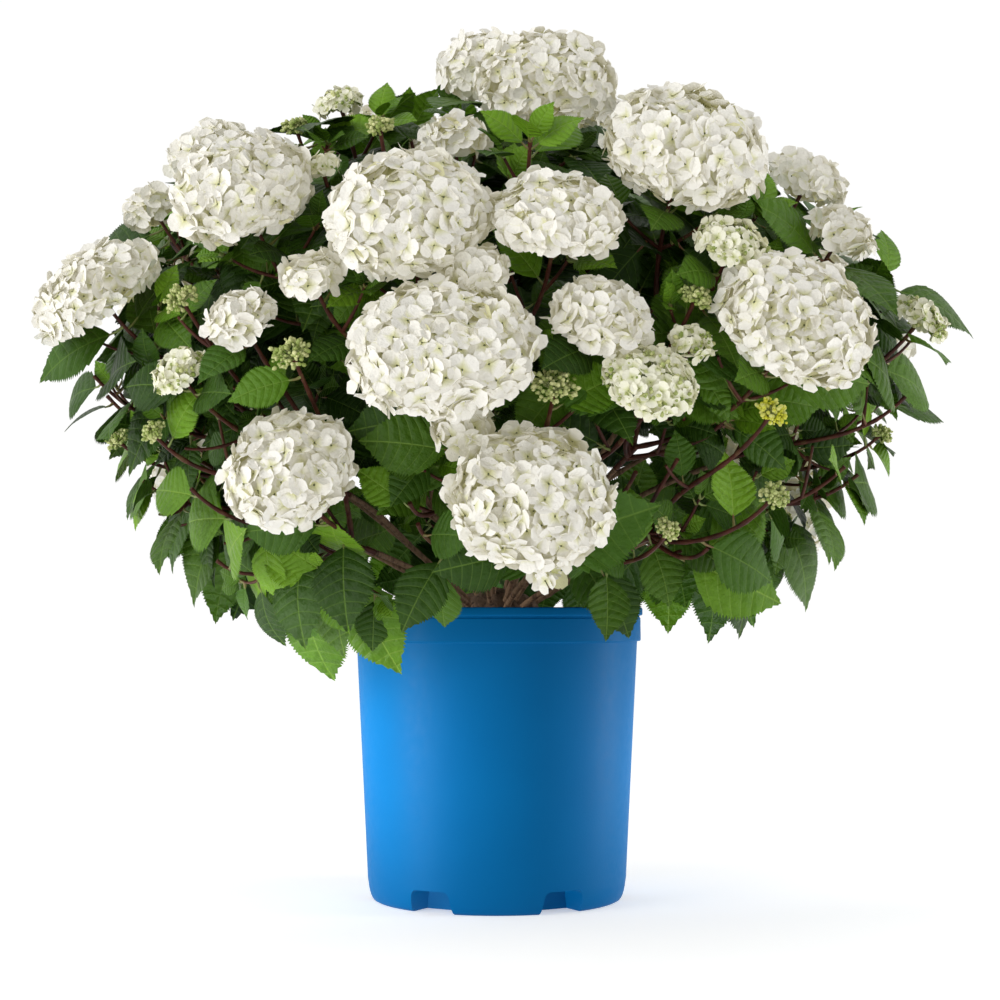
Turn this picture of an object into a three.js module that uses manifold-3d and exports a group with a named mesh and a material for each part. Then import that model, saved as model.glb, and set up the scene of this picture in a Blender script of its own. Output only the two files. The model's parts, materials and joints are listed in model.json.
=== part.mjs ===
// A white mophead hydrangea in its nursery pot.
// Millimetres, +Z up. The origin is the middle of the pot's flat underside, and -Y is the front.
// Woody canes fan out of one base at the top of the potting mix. Each cane or side branch carries one
// mass of foliage: leafy shoots that end in a mophead, a half-open head, a cluster of buds or a leaf tuft.
import * as THREE from "three";
import { mergeVertices } from "three/addons/utils/BufferGeometryUtils.js";
import { ConvexHull } from "three/addons/math/ConvexHull.js";
import Module from "manifold-3d";

const wasm = await Module();
wasm.setup();

// ---- Driving sizes -------------------------------------------------------------------------------

const clearance = 0.3; // between any two solids that touch
const shortestEdge = 0.1;

const pot = {
  height: 228,
  rimRadius: 115,
  bandRadius: 113.6,
  bodyTopRadius: 110.7,
  bodyFootRadius: 101.5,
  soleRadius: 95,
  lipHeight: 6.5,
  bandHeight: 27,
  footBend: 20, // height of the rounded foot
  wall: 2.4,
  floor: 3,
  headspace: 15, // from the lip down to the potting mix
  sides: 24,
};
const drain = { count: 6, width: 33, height: 17, depth: 27 };
const base = { radius: 36, flare: 5, height: 30, spread: 12, sides: 14 };

// The crown is a dome round this heart; the shares place a bloom between the heart and its surface.
const crown = { across: 385, deep: 340, rise: 265, heartHeight: 420, share: 0.8 };

// How far a leaf may reach out sideways at a height: [height, reach], with straight lines between.
const furthestReach = [[165, 150], [205, 226], [250, 265], [310, 300], [365, 342], [400, 370], [720, 370]];

const cane = { footRadius: 3.3, forkRadius: 2.7, sides: 5, steps: 3, bow: 0.07, reach: 0.55 };
const branch = { footRadius: 3, leaves: 0.45 }; // a side branch leaves its cane at this share of its length
const stem = { length: 28, radius: 3, sides: 3 };

// A shoot leaves the upper part of its stem, runs off straight for a share of its span, arrives straight
// for another, and ends sunk into its head by a share of the head's lower half.
const shoot = { radius: 2.4, tipRadius: 1.8, sides: 3, steps: 2,
  fromStem: 0.7, leaving: 0.35, arriving: 0.4, sunk: 0.6 };

// The first pair of leaves stands this far under the shoot's end. lean is in degrees from the shoot.
const leaf = { length: 88, width: 0.68, thickness: 1.8, droop: 0.38,
  firstPair: 8, pairSpacing: 28, stagger: 3.5, underHead: 0.35,
  lean: 62, leanPerPair: 6, leanSpread: 12, sizeSpread: 0.2,
  lastShare: 0.12, lowestLeft: 172, lowestRight: 190 };
// What the upper side of a blade turns to; broadside is to the front, or on the back masses to the back.
const leafFacing = { outwards: 0.9, along: 0.4, up: 0.45, broadside: 0.7 };
const smallestLeaf = 0.67; // of the full size; below that it is left out
const rimWindow = { left: -22, right: 62, top: 238 }; // where no leaf hangs over the front of the rim

// Heads lean outwards, the low ones the most: lean is outwards against up.
const head = { leanAtTop: 0.35, leanBelow: 0.9, topHeight: 620, depth: 350, openShare: 0.8 };

// Every kind of shoot tip: its height over and under its widest place as shares of its radius, how
// many florets or buds show as peaks, how far the valleys between them sink, and its leaves' size.
const tips = {
  ball: { over: 0.78, under: 0.6, peaks: 17, valley: 7, pairs: 3, leaves: 1.0 },
  dome: { over: 0.64, under: 0.42, peaks: 14, valley: 0, pairs: 3, leaves: 0.95 },
  open: { over: 0.62, under: 0.4, peaks: 10, valley: 0, pairs: 3, leaves: 0.9 },
  buds: { over: 0.6, under: 0.5, peaks: 8, valley: 0, pairs: 3, leaves: 0.85 },
  leafy: { over: 0, under: 0, peaks: 0, valley: 0, pairs: 4, leaves: 0.95 },
};

// The masses of the front. A shoot is [across, up, width of its head, kind, share of the dome].
// from: the cane that a side branch grows out of.
const frontMasses = [
  { name: "top", shoots: [[-9, 646, 77, "ball", 0.3], [36, 615, 111, "ball", 0.5],
    [-30, 563, 50, "dome", 0.6], [23, 545, 0, "leafy"], [-30, 610, 0, "leafy", -0.2]] },
  { name: "upper_right", shoots: [[129, 541, 118, "ball"], [231, 544, 66, "dome", 0.5],
    [246, 494, 57, "dome", 0.7], [188, 512, 0, "leafy", 0.6]] },
  { name: "right", shoots: [[202, 419, 115, "ball", 0.85], [160, 473, 56, "open"],
    [134, 436, 24, "buds"], [131, 404, 34, "open"], [165, 365, 0, "leafy", 0.6]] },
  { name: "right_tip", from: "right", shoots: [[313, 440, 48, "open", 0.6], [305, 385, 0, "leafy", 0.5],
    [300, 480, 0, "leafy", 0.4]] },
  { name: "right_side", shoots: [[318, 400, 0, "leafy", -0.2], [278, 330, 0, "leafy", 0.25],
    [304, 365, 20, "buds", 0.05]] },
  { name: "right_low", shoots: [[184, 358, 24, "buds", 0.9], [189, 304, 24, "buds", 0.9],
    [150, 270, 0, "leafy", 0.7], [253, 330, 0, "leafy", 0.6], [125, 330, 0, "leafy", 0.7]] },
  { name: "centre", shoots: [[70, 420, 72, "dome"], [101, 376, 67, "open", 0.85],
    [38, 372, 34, "buds", 0.85]] },
  { name: "upper_middle", shoots: [[-59, 489, 115, "ball"], [40, 488, 93, "dome"],
    [-124, 450, 48, "dome"], [10, 530, 0, "leafy", 0.6]] },
  { name: "upper_left", shoots: [[-175, 513, 104, "ball"], [-216, 567, 68, "dome", 0.5],
    [-261, 531, 48, "dome", 0.4], [-123, 537, 30, "open", 0.7]] },
  { name: "top_left", from: "upper_left", shoots: [[-119, 609, 41, "open", 0.4], [-81, 560, 22, "buds"],
    [-150, 585, 22, "buds", 0.5]] },
  { name: "left_tip", shoots: [[-286, 453, 102, "dome", 0.7], [-217, 440, 28, "buds"],
    [-300, 400, 0, "leafy", 0.5]] },
  { name: "left", from: "left_tip", shoots: [[-173, 423, 54, "dome"], [-218, 389, 44, "open"],
    [-240, 350, 20, "buds"], [-160, 380, 0, "leafy", 0.55]] },
  { name: "left_side", shoots: [[-318, 400, 0, "leafy", -0.2], [-272, 325, 0, "leafy", 0.25],
    [-300, 360, 20, "buds", 0.05]] },
  { name: "left_low", shoots: [[-139, 319, 95, "ball", 0.85], [-136, 396, 32, "buds", 0.85],
    [-217, 312, 0, "leafy", 0.7], [-205, 262, 0, "leafy", 0.6], [-125, 255, 0, "leafy", 0.65]] },
  { name: "front", shoots: [[-35, 395, 128, "dome", 0.85], [-24, 346, 46, "dome"],
    [-14, 452, 50, "dome"], [-85, 340, 0, "leafy", 0.7], [-60, 300, 0, "leafy", 0.7]] },
  { name: "front_low", shoots: [[23, 298, 112, "ball", 0.92], [33, 250, 26, "dome", 0.85],
    [-54, 285, 0, "leafy", 0.75], [95, 272, 0, "leafy", 0.7], [117, 280, 20, "buds", 0.85],
    [95, 320, 0, "leafy", 0.75]] },
];

// The masses of the back: [name, azimuth, elevation], in degrees about the crown's heart, with +X at 0.
const backMasses = [
  ["back_right_low", 34, -24], ["back_low", 90, -26], ["back_left_low", 148, -22],
  ["back_right_side", 22, 16, "back_right"], ["back_right", 62, 18], ["back_left", 112, 14],
  ["back_left_side", 156, 14, "back_left"], ["back_top_right", 50, 60],
  ["back_top_left", 132, 58, "back_top_right"],
];
// Their shoots stand round that middle: [azimuth, elevation, width, kind] away from it.
const backShoots = [[0, 5, 112, "ball"], [-17, -9, 72, "dome"], [16, -10, 34, "buds"], [13, 15, 0, "leafy"]];

// ---- Helpers -------------------------------------------------------------------------------------

const up = new THREE.Vector3(0, 0, 1);
const forward = new THREE.Vector3(0, -1, 0);
const level = new THREE.Vector3(1, 1, 0);
const heart = new THREE.Vector3(0, 0, crown.heartHeight);
const mixTop = pot.height - pot.headspace;
const root = new THREE.Vector3(0, 0, mixTop + 6); // the canes' feet stand round it, inside the woody base

// The same stream of numbers between 0 and 1 for the same seed.
function numberStream(seed) {
  let state = Math.imul(seed + 1, 2654435761) >>> 0;
  return () => {
    state = (Math.imul(1664525, state) + 1013904223) >>> 0;
    return state / 2 ** 32;
  };
}

function solidFrom(positions, index) {
  const mesh = new wasm.Mesh({
    numProp: 3,
    vertProperties: new Float32Array(positions),
    triVerts: new Uint32Array(index),
  });
  return new wasm.Manifold(mesh);
}

// A closed three.js geometry as a solid: shared vertices merged, collapsed faces dropped.
function solidOf(geometry) {
  const bare = geometry.clone();
  bare.deleteAttribute("normal");
  bare.deleteAttribute("uv");
  const merged = mergeVertices(bare, 1e-3);
  const index = [];
  for (let i = 0; i < merged.index.count; i += 3) {
    const [a, b, c] = merged.index.array.slice(i, i + 3);
    if (a !== b && b !== c && c !== a) index.push(a, b, c);
  }
  return solidFrom(merged.attributes.position.array, index);
}

// A profile of [radius, height] turned round the Z axis.
function turned(profile, sides) {
  const points = profile.map(([radius, height]) => new THREE.Vector2(radius, height));
  return solidOf(new THREE.LatheGeometry(points, sides).rotateX(Math.PI / 2));
}

// Edges shorter than shortestEdge are collapsed, and a scrap that fusing leaves loose is dropped.
function meshOf(name, solid, material) {
  const whole = solid.simplify(shortestEdge).decompose().sort((a, b) => b.volume() - a.volume())[0];
  const { numProp, numVert, vertProperties, triVerts } = whole.getMesh();
  const positions = new Float32Array(numVert * 3);
  for (let i = 0; i < numVert; i++) {
    positions.set(vertProperties.subarray(i * numProp, i * numProp + 3), i * 3);
  }
  const geometry = new THREE.BufferGeometry();
  geometry.setAttribute("position", new THREE.BufferAttribute(positions, 3));
  geometry.setIndex(new THREE.BufferAttribute(new Uint32Array(triVerts), 1));
  const mesh = new THREE.Mesh(geometry, material);
  mesh.name = name;
  return mesh;
}

// A limb of round section that tapers along a curve. extra widens it all round, for cutting.
function taperedLimb(curve, startRadius, endRadius, sides, steps, extra = 0) {
  const { normals, binormals } = curve.computeFrenetFrames(steps, false);
  const positions = [];
  const index = [];
  for (let i = 0; i <= steps; i++) {
    const centre = curve.getPointAt(i / steps);
    const radius = THREE.MathUtils.lerp(startRadius, endRadius, i / steps) + extra;
    for (let k = 0; k < sides; k++) {
      const turn = (2 * Math.PI * k) / sides;
      positions.push(...centre.clone()
        .addScaledVector(normals[i], radius * Math.cos(turn))
        .addScaledVector(binormals[i], radius * Math.sin(turn)));
    }
  }
  for (let i = 0; i < steps; i++) {
    for (let k = 0; k < sides; k++) {
      const a = i * sides + k;
      const b = i * sides + ((k + 1) % sides);
      index.push(a, b, b + sides, a, b + sides, a + sides);
    }
  }
  const last = steps * sides;
  for (let k = 1; k < sides - 1; k++) index.push(0, k + 1, k, last, last + k, last + k + 1);
  return solidFrom(positions, index);
}

// The point on the faceted limb's own middle line at a share of its length.
function onFacetedLimb(curve, steps, share) {
  const step = Math.min(Math.floor(share * steps), steps - 1);
  return curve.getPointAt(step / steps).lerp(curve.getPointAt((step + 1) / steps), share * steps - step);
}

function linesAlong(curve, steps) {
  const points = curve.getSpacedPoints(steps);
  return points.slice(1).map((p, i) => new THREE.Line3(points[i], p));
}

// ---- The pot and the potting mix -----------------------------------------------------------------

const plastic = new THREE.MeshStandardMaterial({ color: 0x0a74c4, roughness: 0.38, metalness: 0 });
const mix = new THREE.MeshStandardMaterial({ color: 0x3a2a1e, roughness: 1, metalness: 0 });

// Radius of the pot's outer wall at a height, between the rounded foot and the band.
function bodyRadius(height) {
  const bandFoot = pot.height - pot.bandHeight;
  return THREE.MathUtils.mapLinear(height, pot.footBend, bandFoot, pot.bodyFootRadius, pot.bodyTopRadius);
}

// A row of arches through the foot, each a tapering block; extra widens them for the pot's own walls.
function drainArches(extra) {
  const { width, height, depth } = drain;
  const arch = new THREE.Shape();
  const half = width / 2 + extra;
  const shoulder = 4;
  arch.moveTo(-half - 1.5, -1);
  arch.lineTo(half + 1.5, -1);
  arch.lineTo(half, height - shoulder + extra);
  arch.lineTo(half - shoulder, height + extra);
  arch.lineTo(-half + shoulder, height + extra);
  arch.lineTo(-half, height - shoulder + extra);
  arch.closePath();
  const length = depth + 20;
  const block = solidOf(new THREE.ExtrudeGeometry(arch, { depth: length, bevelEnabled: false })
    .rotateX(Math.PI / 2)
    .translate(0, -(pot.bodyFootRadius - depth - extra), 0));
  const arches = [];
  for (let i = 0; i < drain.count; i++) {
    arches.push(block.rotate([0, 0, (360 * (i + 0.5)) / drain.count]));
  }
  return wasm.Manifold.union(arches);
}

// Profile of the pot's inside, drawn in by a margin for what fills it.
function insideProfile(top, margin) {
  const { wall, floor, footBend, soleRadius } = pot;
  const inner = (z) => bodyRadius(z) - wall - margin;
  return [
    [0, floor + margin],
    [soleRadius - wall - margin - 1, floor + margin],
    [inner(footBend) - 1.5, footBend * 0.6],
    [inner(footBend), footBend],
    [inner(top), top],
    [0, top],
  ];
}

function makePot() {
  const { height, rimRadius, bandRadius, soleRadius, footBend, lipHeight, bandHeight, sides } = pot;
  const bandFoot = height - bandHeight;
  const outer = turned([
    [0, 0],
    [soleRadius, 0],
    [soleRadius + 2.6, 4],
    [bodyRadius(footBend) - 1.4, footBend * 0.6],
    [bodyRadius(footBend), footBend],
    [bodyRadius(bandFoot), bandFoot],
    [bandRadius + 0.9, bandFoot + 0.6],
    [bandRadius - 0.4, height - lipHeight - 1.4],
    [rimRadius, height - lipHeight],
    [rimRadius, height - 1.5],
    [rimRadius - 1.5, height],
    [0, height],
  ], sides);
  const cavity = turned(insideProfile(height + 5, 0), sides).subtract(drainArches(pot.wall));
  return outer.subtract(drainArches(0)).subtract(cavity);
}

function makePottingMix() {
  return turned(insideProfile(mixTop, clearance), pot.sides).subtract(drainArches(pot.wall + clearance));
}

// ---- The woody base ------------------------------------------------------------------------------

const bark = new THREE.MeshStandardMaterial({ color: 0x6b5240, roughness: 0.9, metalness: 0 });
const caneBark = new THREE.MeshStandardMaterial({ color: 0x5d3a2c, roughness: 0.75, metalness: 0 });

// extra makes it larger all round, for cutting the canes that stand on it.
function makeBase(extra) {
  const foot = mixTop + clearance;
  const { radius, flare, height, sides } = base;
  const shoulders = [[1, 0.3], [0.82, 0.7], [0.5, 0.95]];
  return turned([
    [0, foot - extra],
    [radius + flare + extra, foot - extra],
    ...shoulders.map(([wide, high]) => [radius * wide + extra, foot + height * high + extra]),
    [0, foot + height + extra],
  ], sides);
}

// ---- Where the shoots stand ----------------------------------------------------------------------

function onDome(across, height, share, side) {
  const rise = (height - crown.heartHeight) / crown.rise;
  const depth = Math.sqrt(Math.max(0, 1 - (across / crown.across) ** 2 - rise ** 2));
  return new THREE.Vector3(across, side * share * crown.deep * depth, height);
}

function onDomeAt(azimuth, elevation, share) {
  const turn = THREE.MathUtils.degToRad(azimuth);
  const lift = THREE.MathUtils.degToRad(elevation);
  return new THREE.Vector3(
    share * crown.across * Math.cos(turn) * Math.cos(lift),
    share * crown.deep * Math.sin(turn) * Math.cos(lift),
    crown.heartHeight + share * crown.rise * Math.sin(lift),
  );
}

function outwardOf(middle) {
  return middle.clone().sub(heart).setZ(0).normalize();
}

// The head leans outwards from the crown's heart and lifts towards the light.
function headAxis(middle) {
  const sunk = THREE.MathUtils.clamp((head.topHeight - middle.z) / head.depth, 0, 1);
  const lean = head.leanAtTop + head.leanBelow * sunk;
  return outwardOf(middle).multiplyScalar(lean).add(up).normalize();
}

// The fork of a mass is where its cane or branch ends and its own stem goes on.
function withFork(mass) {
  const middle = new THREE.Vector3();
  mass.shoots.forEach((s) => middle.add(s.middle));
  middle.divideScalar(mass.shoots.length);
  return { ...mass, fork: root.clone().lerp(middle, cane.reach) };
}

function plannedMasses() {
  const front = frontMasses.map(({ name, from, shoots }) => ({
    name,
    from,
    broadside: forward,
    shoots: shoots.map(([across, height, width, kind, share = crown.share]) => (
      { middle: onDome(across, height, share, -1), width, kind })),
  }));
  const back = backMasses.map(([name, azimuth, elevation, from]) => ({
    name,
    from,
    broadside: forward.clone().negate(),
    shoots: backShoots.map(([turn, lift, width, kind]) => (
      { middle: onDomeAt(azimuth + turn, elevation + lift, crown.share), width, kind })),
  }));
  return [...front, ...back].map(withFork);
}

// The stem goes straight on from its limb, and every shoot leaves it for its own head.
function growShoots(mass, limb, seed) {
  mass.heading = limb.curve.getTangentAt(1);
  const random = numberStream(seed);
  mass.shoots.forEach((s, i) => {
    const tip = tips[s.kind];
    s.radius = s.width / 2;
    s.axis = headAxis(s.middle);
    s.outlooks = s.middle.y < 0 ? [outwardOf(s.middle), forward] : [outwardOf(s.middle)];
    s.foot = s.middle.clone().addScaledVector(s.axis, -shoot.sunk * tip.under * s.radius);
    const along = stem.length * (1 - shoot.fromStem * (i / mass.shoots.length));
    const start = mass.fork.clone().addScaledVector(mass.heading, along);
    const way = s.foot.clone().sub(start);
    const span = way.length();
    const aside = way.addScaledVector(mass.heading, -way.dot(mass.heading)).normalize();
    const leaving = mass.heading.clone().add(aside).normalize();
    const first = start.clone().addScaledVector(leaving, shoot.leaving * span);
    const second = s.foot.clone().addScaledVector(s.axis, -shoot.arriving * span);
    s.path = new THREE.CubicBezierCurve3(start, first, second, s.foot);
    s.twist = Math.PI * random();
  });
}

// ---- Each mass keeps to its own space ------------------------------------------------------------
// A point belongs to the mass whose nearest head or shoot it lies closest to, heads counting by size.

const shootMarks = { at: [0.05, 0.3, 0.55, 0.8], size: 10 };
const smallestHeadMark = 12;

function markSpaces(masses) {
  const marks = [];
  masses.forEach((mass, owner) => {
    mass.shoots.forEach((s) => {
      shootMarks.at.forEach((t) => marks.push({ owner, at: s.path.getPoint(t), size: shootMarks.size }));
      marks.push({ owner, at: s.middle, size: Math.max(s.radius, smallestHeadMark) });
    });
  });
  return marks;
}

const spaceMargin = 260; // mm2 in that measure: about 1.5 mm from the border

function inOwnSpace(point, owner, marks) {
  let own = Infinity;
  let other = Infinity;
  for (const mark of marks) {
    const measure = point.distanceToSquared(mark.at) - mark.size ** 2;
    if (mark.owner === owner) own = Math.min(own, measure);
    else other = Math.min(other, measure);
  }
  return own + spaceMargin < other;
}

// ---- Canes and side branches ---------------------------------------------------------------------

function caneCurve(start, mass) {
  const bow = cane.bow * start.distanceTo(mass.fork);
  const bend = start.clone().lerp(mass.fork, 0.5).addScaledVector(up, bow);
  return new THREE.QuadraticBezierCurve3(start, bend, mass.fork);
}

function plannedLimbs(masses) {
  const limbs = new Map();
  masses.filter((m) => !m.from).forEach((m) => {
    const aside = m.fork.clone().sub(root).normalize().multiply(level).multiplyScalar(base.spread);
    limbs.set(m.name, { curve: caneCurve(root.clone().add(aside), m), footRadius: cane.footRadius });
  });
  masses.filter((m) => m.from).forEach((m) => {
    const parent = limbs.get(m.from);
    const start = parent.curve.getPointAt(branch.leaves);
    limbs.set(m.name, { curve: caneCurve(start, m), footRadius: branch.footRadius, parent });
  });
  return limbs;
}

function limbSolid({ curve, footRadius }, extra = 0) {
  return taperedLimb(curve, footRadius, cane.forkRadius, cane.sides, cane.steps, extra);
}

// How far a leaf stays away from a limb's skin, and from the pot and the woody base.
const limbMargin = 1;
const potMargin = 3;

function clearOfLimbs(point, limbs) {
  for (const { line } of limbs.values()) {
    for (const segment of line) {
      const nearest = segment.closestPointToPoint(point, true, new THREE.Vector3());
      if (nearest.distanceTo(point) < cane.footRadius + limbMargin) return false;
    }
  }
  return true;
}

function clearOfPot(point) {
  const reach = Math.hypot(point.x, point.y);
  const inPot = point.z < pot.height + potMargin && reach < pot.rimRadius + potMargin;
  const baseReach = base.radius + base.flare + potMargin;
  const inBase = point.z < mixTop + base.height + potMargin && reach < baseReach;
  const inWindow = point.y < 0 && point.z < rimWindow.top && point.x > rimWindow.left
    && point.x < rimWindow.right;
  const lowest = point.x < 0 ? leaf.lowestLeft : leaf.lowestRight;
  return point.z > lowest && !inPot && !inBase && !inWindow;
}

// Whether a point keeps within the outline of the whole crown.
function inOutline(point) {
  const reach = Math.hypot(point.x, (point.y * crown.across) / crown.deep);
  const above = furthestReach.findIndex(([height]) => height > point.z);
  if (above < 1) return false;
  const [[low, lowReach], [high, highReach]] = furthestReach.slice(above - 1, above + 1);
  return reach < THREE.MathUtils.mapLinear(point.z, low, high, lowReach, highReach);
}

// Heads are flattened along their axis, less above their widest place than under it.
function insideHead(point, s) {
  const offset = point.clone().sub(s.middle);
  const along = offset.dot(s.axis);
  const aside = Math.sqrt(Math.max(0, offset.lengthSq() - along ** 2));
  const tip = tips[s.kind];
  return Math.hypot(aside, along / (along > 0 ? tip.over : tip.under)) < s.radius;
}

// Whether a point stands before the middle of a head, for someone who looks at the head.
function beforeHead(point, s) {
  const offset = point.clone().sub(s.middle);
  return s.outlooks.some((outlook) => {
    const ahead = offset.dot(outlook);
    return ahead > 0 && offset.lengthSq() - ahead ** 2 < (head.openShare * s.radius) ** 2;
  });
}

function clearOfHeads(point, masses) {
  const heads = masses.flatMap((m) => m.shoots.filter((s) => s.radius > 0));
  return heads.every((s) => !insideHead(point, s) && !beforeHead(point, s));
}

// ---- Leaves --------------------------------------------------------------------------------------

const leafGreen = new THREE.MeshStandardMaterial({ color: 0x2f6b2a, roughness: 0.6, metalness: 0 });

const bladeWidest = 0.44; // as a share of its length

// A thin blade along one direction with its upper side facing another, ridged along its midrib and
// keeled across its widest place. Returns the corners: root, side, tip and other side.
function leafCorners(rootPoint, along, facing, length) {
  const side = new THREE.Vector3().crossVectors(facing, along).normalize();
  const face = new THREE.Vector3().crossVectors(along, side).normalize();
  const place = (u, v, w) => rootPoint.clone()
    .addScaledVector(along, u * length)
    .addScaledVector(side, v * length)
    .addScaledVector(face, w * length);
  return [
    rootPoint.clone(),
    place(bladeWidest, leaf.width / 2, -leaf.thickness / leaf.length),
    place(1, 0, 0),
    place(bladeWidest, -leaf.width / 2, -leaf.thickness / leaf.length),
  ];
}

// Two faces above, that meet in the midrib, and two below.
const leafFaces = [[0, 2, 1], [0, 3, 2], [0, 1, 3], [2, 3, 1]];

function leafSolid(corners) {
  return solidFrom(corners.flatMap((p) => [...p]), leafFaces.flat());
}

const midribProbes = [0.25, 0.7, 0.85];
const ownStem = { edges: 0.1, face: 0.2 }; // near its root a blade may touch the shoot that it grows on

// Points to test a blade at: its corners but the root, and points along its outline and its midrib.
function leafProbes([rootPoint, left, tip, right]) {
  const spans = [[rootPoint, left], [left, tip], [tip, right], [right, rootPoint], [left, right]];
  const middles = spans.map(([a, b]) => a.clone().lerp(b, 0.5));
  const along = midribProbes.map((share) => rootPoint.clone().lerp(tip, share));
  return [left, tip, right, ...middles, ...along];
}

// The two halves of a blade, as triangles, and the edges that could pass through another blade.
function bladeHalves([rootPoint, left, tip, right]) {
  return [[rootPoint, left, tip], [rootPoint, tip, right]];
}

function bladeEdges([rootPoint, left, tip, right]) {
  const start = rootPoint.clone().lerp(tip, ownStem.edges);
  return [[start, left], [left, tip], [tip, right], [right, start], [start, tip]];
}

function edgesPass(corners, others) {
  const ray = new THREE.Ray();
  const hit = new THREE.Vector3();
  return bladeEdges(corners).some(([from, to]) => {
    ray.origin.copy(from);
    ray.direction.copy(to).sub(from).normalize();
    return bladeHalves(others).some((half) => (
      ray.intersectTriangle(...half, false, hit) !== null && hit.distanceTo(from) < from.distanceTo(to)));
  });
}

function crossesAny(corners, leaves) {
  return leaves.some((other) => edgesPass(corners, other) || edgesPass(other, corners));
}

// Whether a shoot or the stem runs through the blade, past the blade's own root.
function piercedBy(corners, lines) {
  const [rootPoint, left, tip, right] = corners;
  const beyond = rootPoint.clone().lerp(tip, ownStem.face);
  const blade = [beyond, left, tip, right];
  const ray = new THREE.Ray();
  const hit = new THREE.Vector3();
  return lines.some(({ start, end }) => {
    ray.origin.copy(start);
    ray.direction.copy(end).sub(start).normalize();
    return bladeHalves(blade).some((half) => (
      ray.intersectTriangle(...half, false, hit) !== null && hit.distanceTo(start) < start.distanceTo(end)));
  });
}

const leafPairSizes = [0.86, 1, 1.06, 1];
const leafSizes = [1, 0.87, 0.75, smallestLeaf];
const leafSwings = [0, 0.4, -0.4, 0.8, -0.8];

// The blade that fits at a node of a shoot: the full size first, then smaller ones, each swung round the
// stem to both sides of its own turn. Nothing where none fits.
function fittedBlade(node, stemLine, { turn, lean, length, broadside }, fits) {
  const across = new THREE.Vector3().crossVectors(stemLine, up).normalize();
  const facing = node.clone().sub(heart).normalize().multiplyScalar(leafFacing.outwards)
    .addScaledVector(stemLine, leafFacing.along)
    .addScaledVector(up, leafFacing.up)
    .addScaledVector(broadside, leafFacing.broadside);
  for (const scale of leafSizes) {
    for (const swing of leafSwings) {
      const outward = across.clone().applyAxisAngle(stemLine, turn + swing);
      const along = stemLine.clone().multiplyScalar(Math.cos(lean))
        .addScaledVector(outward, Math.sin(lean))
        .addScaledVector(up, -leaf.droop)
        .normalize();
      const corners = leafCorners(node, along, facing, length * scale);
      if (fits(corners)) return corners;
    }
  }
  return null;
}

// Opposite pairs, each a quarter turn from the last: the way of a hydrangea's shoot.
function leafyShoot(s, broadside, random, leaves, fits) {
  const tip = tips[s.kind];
  const span = s.path.getLength();
  for (let pair = 0; pair < tip.pairs; pair++) {
    for (const half of [0, 1]) {
      const back = leaf.underHead * tip.under * s.radius + leaf.firstPair
        + pair * leaf.pairSpacing + half * leaf.stagger;
      const share = 1 - back / span;
      if (share < leaf.lastShare) return;
      const growth = {
        broadside,
        turn: s.twist + (pair * Math.PI) / 2 + half * Math.PI,
        lean: THREE.MathUtils.degToRad(leaf.lean + leaf.leanPerPair * pair + leaf.leanSpread * random()),
        length: leaf.length * tip.leaves * leafPairSizes[pair] * (1 + leaf.sizeSpread * (random() - 0.5)),
      };
      const node = onFacetedLimb(s.path, shoot.steps, share);
      const corners = fittedBlade(node, s.path.getTangentAt(share), growth, fits);
      if (corners) leaves.push(corners);
    }
  }
}

// ---- Heads of bloom ------------------------------------------------------------------------------

const goldenTurn = Math.PI * (3 - Math.sqrt(5));
const drawIn = { tries: 12, step: 0.08 }; // a corner outside its own space goes back by steps

// Florets as peaks spread evenly over a flattened ball, with a valley inside every three of them.
function headSolid(s, owner, marks) {
  const { over, under, peaks, valley } = tips[s.kind];
  const directions = [];
  for (let i = 0; i < peaks; i++) {
    const height = 1 - (2 * (i + 0.5)) / peaks;
    const ring = Math.sqrt(1 - height ** 2);
    directions.push(new THREE.Vector3(
      ring * Math.cos(i * goldenTurn), ring * Math.sin(i * goldenTurn), height));
  }
  const order = new Map(directions.map((d, i) => [d, i]));
  const index = [];
  const sunken = [];
  for (const face of new ConvexHull().setFromPoints(directions).faces) {
    const corners = [face.edge, face.edge.next, face.edge.prev].map((e) => e.head().point);
    const [a, b, c] = corners.map((p) => order.get(p));
    if (valley > 0) {
      const middle = corners.reduce((sum, corner) => sum.add(corner), new THREE.Vector3()).normalize();
      const low = peaks + sunken.push(middle) - 1;
      index.push(a, b, low, b, c, low, c, a, low);
    } else {
      index.push(a, b, c);
    }
  }
  const turn = new THREE.Quaternion().setFromUnitVectors(up, s.axis);
  const place = (direction, depth) => {
    const reach = s.radius - depth;
    const point = direction.clone().multiplyScalar(reach);
    point.z *= direction.z > 0 ? over : under;
    point.applyQuaternion(turn).add(s.middle);
    for (let tries = 0; tries < drawIn.tries && !inOwnSpace(point, owner, marks); tries++) {
      point.lerp(s.middle, drawIn.step);
    }
    return point;
  };
  const points = [...directions.map((d) => place(d, 0)), ...sunken.map((d) => place(d, valley))];
  return solidFrom(points.flatMap((p) => [...p]), index);
}

// ---- A mass of foliage ---------------------------------------------------------------------------

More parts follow.
